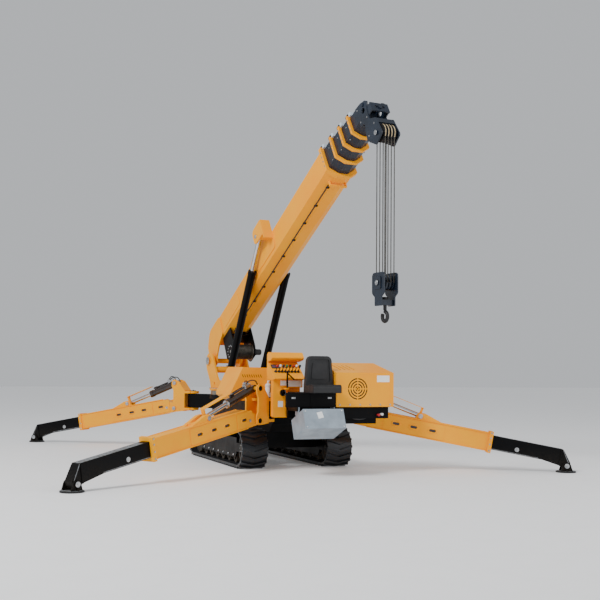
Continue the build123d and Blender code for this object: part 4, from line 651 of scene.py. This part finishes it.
# A pale ring on the pad's top: painted sheen.
pad_top_sheen = lathe([(140, 0), (147, 0.5), (140, 1), (30, 1), (30, 0), (140, 0)], 48)
lock_mark = lathe([(0, 0), (34, 0), (35, 0.2), (34, 0.4), (0, 0.4)], 32)
gland = lathe([(37.4, 0), (60, 0), (64, 3), (64, 20), (58, 26), (44, 28), (37.4, 28)], 36)
valve_block = join(plate(130, 70, 46, 8), moved(plate(60, 50, 66, 6), 40))
ram_hoses = join(
    hose([(150, -30, 92), (260, -66, 84), (400, -72, 78), (500, -60, 84), (540, -24, 98)], 8),
    hose([(160, 0, 104), (120, 24, 148), (60, 62, 156), (4, 82, 126), (-18, 86, 70), (-20, 86, 10)], 9),
    hose([(160, -12, 104), (130, -30, 138), (70, -62, 146), (14, -82, 118), (-8, -86, 66),
          (-20, -86, 10)], 9))
for corner in CORNERS:
    hinge, arm, foot, ram, ram_length = corner_places(corner)
    reach = CORNERS[corner][3]
    # The right-front bracket's pin caps are black, a painted dark reflection on caps that are zinc at the
    # other corners.
    cap_finish = black_enamel if corner == "right_front" else zinc
    guard = join(moved(plate(600, 104, 8, 8), ram_length - 300, 0, 131),
                 moved(plate(38, 54, 97, 4), ram_length - 16, 0, 35))
    # Strips down both edges of the inner arm's toe: painted highlights.
    toe_highlights = join(*[hose([(reach - 92, y, 176), (reach - 60, y, 120), (reach - 10, y, 40),
                             (reach + 34, y, -34)], 6) for y in (-72, 72)])
    fittings = (
        ("pin_caps", "bracket", pin_cap, on_sides(
            hinge, EAR_FACE, (PIN_OFFSET, ARM_PIVOT_Z), (PIN_OFFSET, ARM_PIVOT_Z + RAM_RISE)), cap_finish),
        ("hinge_cap", "bracket", top_cap,
         [hinge @ shift(0, 0, 1131), hinge @ shift(0, 0, 759) @ turn(180, "X")], cast_steel),
        ("rod_pin_caps", "arm", pin_cap, on_sides(arm, ROD_EYE_HALF, (ROD_EYE_X, ROD_EYE_Z)), zinc),
        ("collar_bolts", "arm", bolt(11),
         on_sides(arm, COLLAR_HALF, *[(COLLAR_X, z) for z in (-60, 40, 140, 220)]), zinc),
        ("foot_pin_caps", "foot", pin_cap, on_sides(foot, FOOT_HALF, (0, 0)), zinc),
        ("pad_ring", "foot", pad_ring, [foot @ shift(0, 0, -FOOT_PIN_Z)], rubber_hose),
        ("pad_bolts", "foot", bolt(9),
         [foot @ turn(45 + 90 * i, "Z") @ shift(122, 0, -83) for i in range(4)], zinc),
        ("gland", "barrel", gland, [ram @ shift(640) @ TO_FRONT], zinc),
        ("ram_hoses", "barrel", ram_hoses, [ram], rubber_hose),
        ("hose_ends", "barrel", crimp, [ram @ shift(160, y, 92) for y in (-14, 8)], zinc),
        ("rod_guard", "rod", guard, [ram], yellow_leg),
        ("oval_rims", "arm", oval_ring(150, 84, 21, 10), on_sides(arm, ARM_HALF, *OVALS), yellow_leg),
        # Dark brown plates sunk in the arm's oval openings: painted shade inside them.
        ("oval_painted_shade", "arm", plate(108, 42, 3, 20.5), on_sides(arm, 93.8, *OVALS), brown_enamel),
        ("arm_bolts", "arm", arm_bolt, on_sides(arm, ARM_HALF + 0.3, (178, 40)), zinc),
        ("valve_block", "barrel", valve_block, [ram @ shift(130, 0, 66)], zinc),
        ("lock_marks", "inner_arm", lock_mark, on_sides(arm, INNER_HALF, (2650, 38)), zinc),
        ("worn_top", "inner_arm", plate(reach - 2450, 138, 0.4, 4, 0.1),
         [arm @ shift((reach + 2250) / 2, 0, 186)], worn_steel_and_highlight),
        # Pale strips low on the inner arm's sides and along its toe: painted highlights.
        ("inner_edge_highlights", "inner_arm", plate(reach - 2650, 10, 0.4, 4, 0.1),
         on_sides(arm, INNER_HALF, ((reach + 1730) / 2, -26)), worn_steel_and_highlight),
        ("toe_highlights", "inner_arm", toe_highlights, [arm], worn_steel_and_highlight),
        # Pale ring on the pad's top: painted sheen.
        ("pad_top_sheen", "foot", pad_top_sheen, [foot @ shift(0, 0, -82.7)], worn_steel_and_highlight),
    )
    for name, part, shape, places, material in fittings:
        attach(f"{corner}_{name}", shape, places, material, f"{corner}_{part}_body")

# %% [markdown]
# ## Column, boom and winch
# The turntable is bolted down in a circle. Nylon pads with adjusting screws guide each boom section
# in its collar, and the winch drum carries one full layer of wire rope.

# %% Column
TURNTABLE_TOP = 1093 + 0.3 + 75 + 0.3 + 35
BOLT_CIRCLE = 380
LIFT_FOOT_X, LIFT_FOOT_Z, LIFT_FOOT_HALF = 212, 1300, 336 + 43 + 6 + 40
spots = [(BOLT_CIRCLE * np.cos(a), BOLT_CIRCLE * np.sin(a)) for a in np.radians(np.arange(7.5, 360, 15))]
attach("turntable_bolts", bolt(15), [TURRET @ shift(x, y, TURNTABLE_TOP) for x, y in spots
                                     if abs(y) < 296 and x < -60], zinc, "turret")
attach("turntable_rim_bolts", bolt(15), [TURRET @ shift(x, side * 395, TURNTABLE_TOP) for side in (-1, 1)
                                         for x in np.linspace(-520, 20, 9)], zinc, "turret")
heel_bolts = [moved(bolt(9), 48 * np.cos(a), 48 * np.sin(a), 16) for a in np.radians(range(30, 390, 60))]
heel_cap = join(lathe([(0, 0), (70, 0), (74, 4), (74, 12), (68, 16), (0, 16)], 40), *heel_bolts)
attach("heel_pin_caps", heel_cap, on_sides(TURRET, 385, (HEEL_X, HEEL_Z)), zinc, "turret")
attach("lift_foot_pin_caps", pin_cap, on_sides(TURRET, LIFT_FOOT_HALF, (LIFT_FOOT_X, LIFT_FOOT_Z)),
       zinc, "turret")
for index, y in enumerate(np.linspace(-200, 200, 5)):
    attach(f"valve_hose_{index}", hose([
        (-30, y, 1304), (-52, y, 1322), (-130, y * 0.9, 1334), (-250, y * 0.7, 1344),
        (-360, y * 0.5, 1400), (-430, y * 0.4, 1520), (-490, y * 0.3, 1640)], 11),
        [TURRET], rubber_hose, "turret")

# %% Outline and guide pads of the boom's sections
BASE_HALF, BASE_BOTTOM, BASE_TOP = 242.5, 118, 615
STAGE_SHRINK = 21
RING_PROUD = 25.5


def section_loop(s, shrink, grow):
    """The boom's six-sided outline at station s: the base section's, smaller by shrink, larger by grow."""
    half = BASE_HALF - shrink + grow
    low, high = BASE_BOTTOM + shrink - grow, BASE_TOP - shrink + grow
    across, up = 154 - 0.42 * shrink, 108 - 0.3 * shrink
    return np.array([(s, -half, high), (s, half, high), (s, half, low + up), (s, half - across, low),
                     (s, across - half, low), (s, -half, low + up)])


def guide_pads(name, s, half, top, body):
    """Guide pads over both top edges of a collar: dark holder, pale pad in front, yellow cap on top."""
    edges = [BOOM @ shift(s, side * (half - 50), top) for side, _ in SIDES]
    attach(f"{name}_pad_holders", plate(84, 104, 44, 10), [edge @ shift(-42, 0, 24) for edge in edges],
           black_enamel, body)
    attach(f"{name}_guide_pads", plate(52, 92, 62, 8), [edge @ shift(28, 0, 4) for edge in edges],
           pale_nylon, body)
    cap_shape = lathe([(0, 0), (33, 0), (36, 4), (34, 16), (24, 23), (0, 25)], 24)
    attach(f"{name}_pad_caps", cap_shape, [edge @ shift(-44, 0, 68) for edge in edges], yellow_enamel, body)


# %% Boom
COLLAR_S, COLLAR_PLATE_HALF = 5426, 272.5
STAGE_ENDS = ((2, 5745), (3, 6005), (4, 6260))
attach("boom_edge_line", hose([(900, -148, 104), (2200, -150, 106), (3600, -150, 106), (5200, -148, 106)],
                              11, steps=6), [BOOM], rubber_hose, "boom")
attach("boom_line_clips", plate(34, 60, 16, 6), [BOOM @ shift(s, -132, 118) @ turn(180, "X")
                                                 for s in np.arange(1000, 5200, 460)], black_enamel, "boom")
attach("collar_bolts", bolt(11),
       on_sides(BOOM, COLLAR_PLATE_HALF, *[(COLLAR_S, t) for t in (290, 380, 470, 560)]), zinc, "boom")
attach("collar_top_bolts", bolt(11), [BOOM @ shift(COLLAR_S, y, 645) for y in (-110, -40, 40, 110)],
       zinc, "boom")
for stage, s in STAGE_ENDS:
    body = f"stage_{stage}"
    shrink = (stage - 1) * STAGE_SHRINK
    half, top = BASE_HALF - shrink, BASE_TOP - shrink
    band = rings(np.array([
        section_loop(s - 35, shrink, 0.5), section_loop(s - 35, shrink, RING_PROUD),
        section_loop(s + 1.5, shrink, RING_PROUD), section_loop(s + 1.5, shrink + STAGE_SHRINK, 2.5)]))
    attach(f"{body}_ring", band, [BOOM], yellow_enamel, body, crease=20)
    attach(f"{body}_screws", bolt(8), on_sides(
        BOOM, half + RING_PROUD, *[(s - 17, top - drop) for drop in (60, 150, 240)]), zinc, body)
    attach(f"{body}_side_screws", bolt(9),
           on_sides(BOOM, half, *[(s - 130, top - drop) for drop in (90, 330)]), zinc, body)
    guide_pads(body, s, half, top, body)
guide_pads("base", 5460, BASE_HALF, BASE_TOP, "boom")
attach("lift_rod_pin_caps", pin_cap, on_sides(BOOM, 420, (3037, 706)), zinc, "boom")

# %% Winch
DRUM_X, DRUM_Z = 700, -215
WRAP_RADIUS, WRAP_PITCH, WRAP_TURNS, WRAP_STEPS = 132, 16.3, 20, 24
turns = np.linspace(-10.3, 10.3, WRAP_TURNS * WRAP_STEPS)
helix = [(DRUM_X + WRAP_RADIUS * np.cos(2 * np.pi * n), WRAP_PITCH * n,
          DRUM_Z + WRAP_RADIUS * np.sin(2 * np.pi * n)) for n in turns]
attach("wound_rope", hose(helix, 7.4, sides=8, steps=1), [BOOM], wire_rope, "drum", crease=80)
attach("winch_bolts", bolt(11), [place @ turn(30 * i, "Z") @ shift(112)
                                 for place in on_sides(BOOM, 216, (DRUM_X, DRUM_Z))
                                 for i in range(12)], zinc, "boom")
motor = lathe([(0, 0), (64, 0), (64, 60), (56, 70), (56, 150), (48, 162), (0, 162)], 36)
attach("winch_motor", motor, [BOOM @ shift(DRUM_X, 242, DRUM_Z) @ TO_LEFT], cast_steel, "boom")

# %% Head, block and hook
HEAD_AXLE_X, HEAD_AXLE_Z = 5221.56, 5006.43
ROPE_YS, SHEAVE_PITCH_RADIUS = (-78, -26, 26, 78), 112.3
attach("head_axle_caps", pin_cap, on_sides(BOOM, 172.5, (6735, -185)), zinc, "stage_5")
attach("head_bolts", bolt(10), on_sides(
    BOOM, 158.5, (6480, 250), (6480, 480), (6650, 200), (6760, -20), (6560, -90)), zinc, "stage_5")
arc = [(129 * np.cos(a), 129 * np.sin(a)) for a in np.radians(np.linspace(-28, 208, 26))]
strand = hose([(x, 0, z) for x, z in arc], 7, sides=8, steps=2)
attach("sheave_ropes", strand, [TURRET @ shift(HEAD_AXLE_X, y, HEAD_AXLE_Z) for y in ROPE_YS],
       cream_rope, "rope_fall", crease=80)
rope_low, rope_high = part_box("hoist_ropes")
low_mm, high_mm = 1000 * rope_low[2], 1000 * rope_high[2]
fall = lathe([(0, low_mm), (7, low_mm), (7, high_mm), (0, high_mm)], 12)
ropes = placed("rope_falls", fall, [TURRET @ shift(HEAD_AXLE_X + side * SHEAVE_PITCH_RADIUS, y, 0)
                                    for side in (-1, 1) for y in ROPE_YS], wire_rope)
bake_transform(ropes)
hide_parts("hoist_ropes")
attach("block_axle_caps", pin_cap, on_sides(TURRET, 142, (5221.5, 2835)), zinc, "block")

# %% [markdown]
# ## Floor, light and camera
# The floor is one flat pale sheet that glows faintly, so that it stays near white. A large soft lamp
# stands high on the camera's left, a weaker one fills from its right, and the sky is an even grey-white.

# %% Studio
pale_floor = finish_of("pale_studio_floor", "#F4F4F4", "#F0F0F0", 0.7, grain_mm=6, grain_depth=0.01)
FLOOR_REACH, FLOOR_Z = 60, -0.001
floor_corners = np.array([(x * FLOOR_REACH, y * FLOOR_REACH, FLOOR_Z)
                          for x, y in ((-1, -1), (1, -1), (1, 1), (-1, 1))])
floor = grid_mesh("floor", floor_corners, np.array([(0, 1, 2, 3)]), pale_floor)
glow = pale_floor.node_tree.nodes["Principled BSDF"].inputs
glow["Emission Color"].default_value = (1, 1, 1, 1)
glow["Emission Strength"].default_value = 0.1
floor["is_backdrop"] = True

world = bpy.data.worlds.new("even_sky")
bpy.context.scene.world = world
world.use_nodes = True
world.node_tree.nodes["Background"].inputs["Color"].default_value = (0.93, 0.96, 1.0, 1)
world.node_tree.nodes["Background"].inputs["Strength"].default_value = 0.6


def soft_lamp(name, place, target, size, power):
    """Square area lamp that faces a target."""
    data = bpy.data.lights.new(name, "AREA")
    data.size = size
    data.energy = power
    lamp = bpy.data.objects.new(name, data)
    bpy.context.scene.collection.objects.link(lamp)
    away = np.array(place, float) - np.array(target, float)
    back = away / np.linalg.norm(away)
    side = np.cross((0, 0, 1), back)
    side /= np.linalg.norm(side)
    up = np.cross(back, side)
    rows = np.array([side, up, back]).T
    lamp.matrix_world = Matrix([(*row, p) for row, p in zip(rows, place)] + [(0, 0, 0, 1)])


soft_lamp("key", (10, -14, 15), (0, 0, 1.5), 5, 3200)
soft_lamp("fill", (14, 10, 8), (0, 0, 1.5), 8, 700)

# %% Camera at the photograph's angle
PHOTO_PX, FOCAL_PX = 600, 1002.74
camera_data = bpy.data.cameras.new("photo_view")
camera_data.sensor_width = 36
camera_data.lens = FOCAL_PX / PHOTO_PX * camera_data.sensor_width
camera = bpy.data.objects.new("photo_view", camera_data)
bpy.context.scene.collection.objects.link(camera)
forward = np.array((-0.9273, 0.36826, 0.06714))
up_way = np.array((0.0587, -0.03407, 0.99775))
side_way = np.array((0.3697, 0.92915, 0.00998))
spot = np.array((16.598, -5.967, 1.616)) + np.array((MOVE_X, MOVE_Y, 0)) / 1000
rows = np.array([side_way, up_way, -forward]).T
camera.matrix_world = Matrix([(*row, p) for row, p in zip(rows, spot)] + [(0, 0, 0, 1)])
bpy.context.scene.camera = camera

# %% Close
low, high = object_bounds()
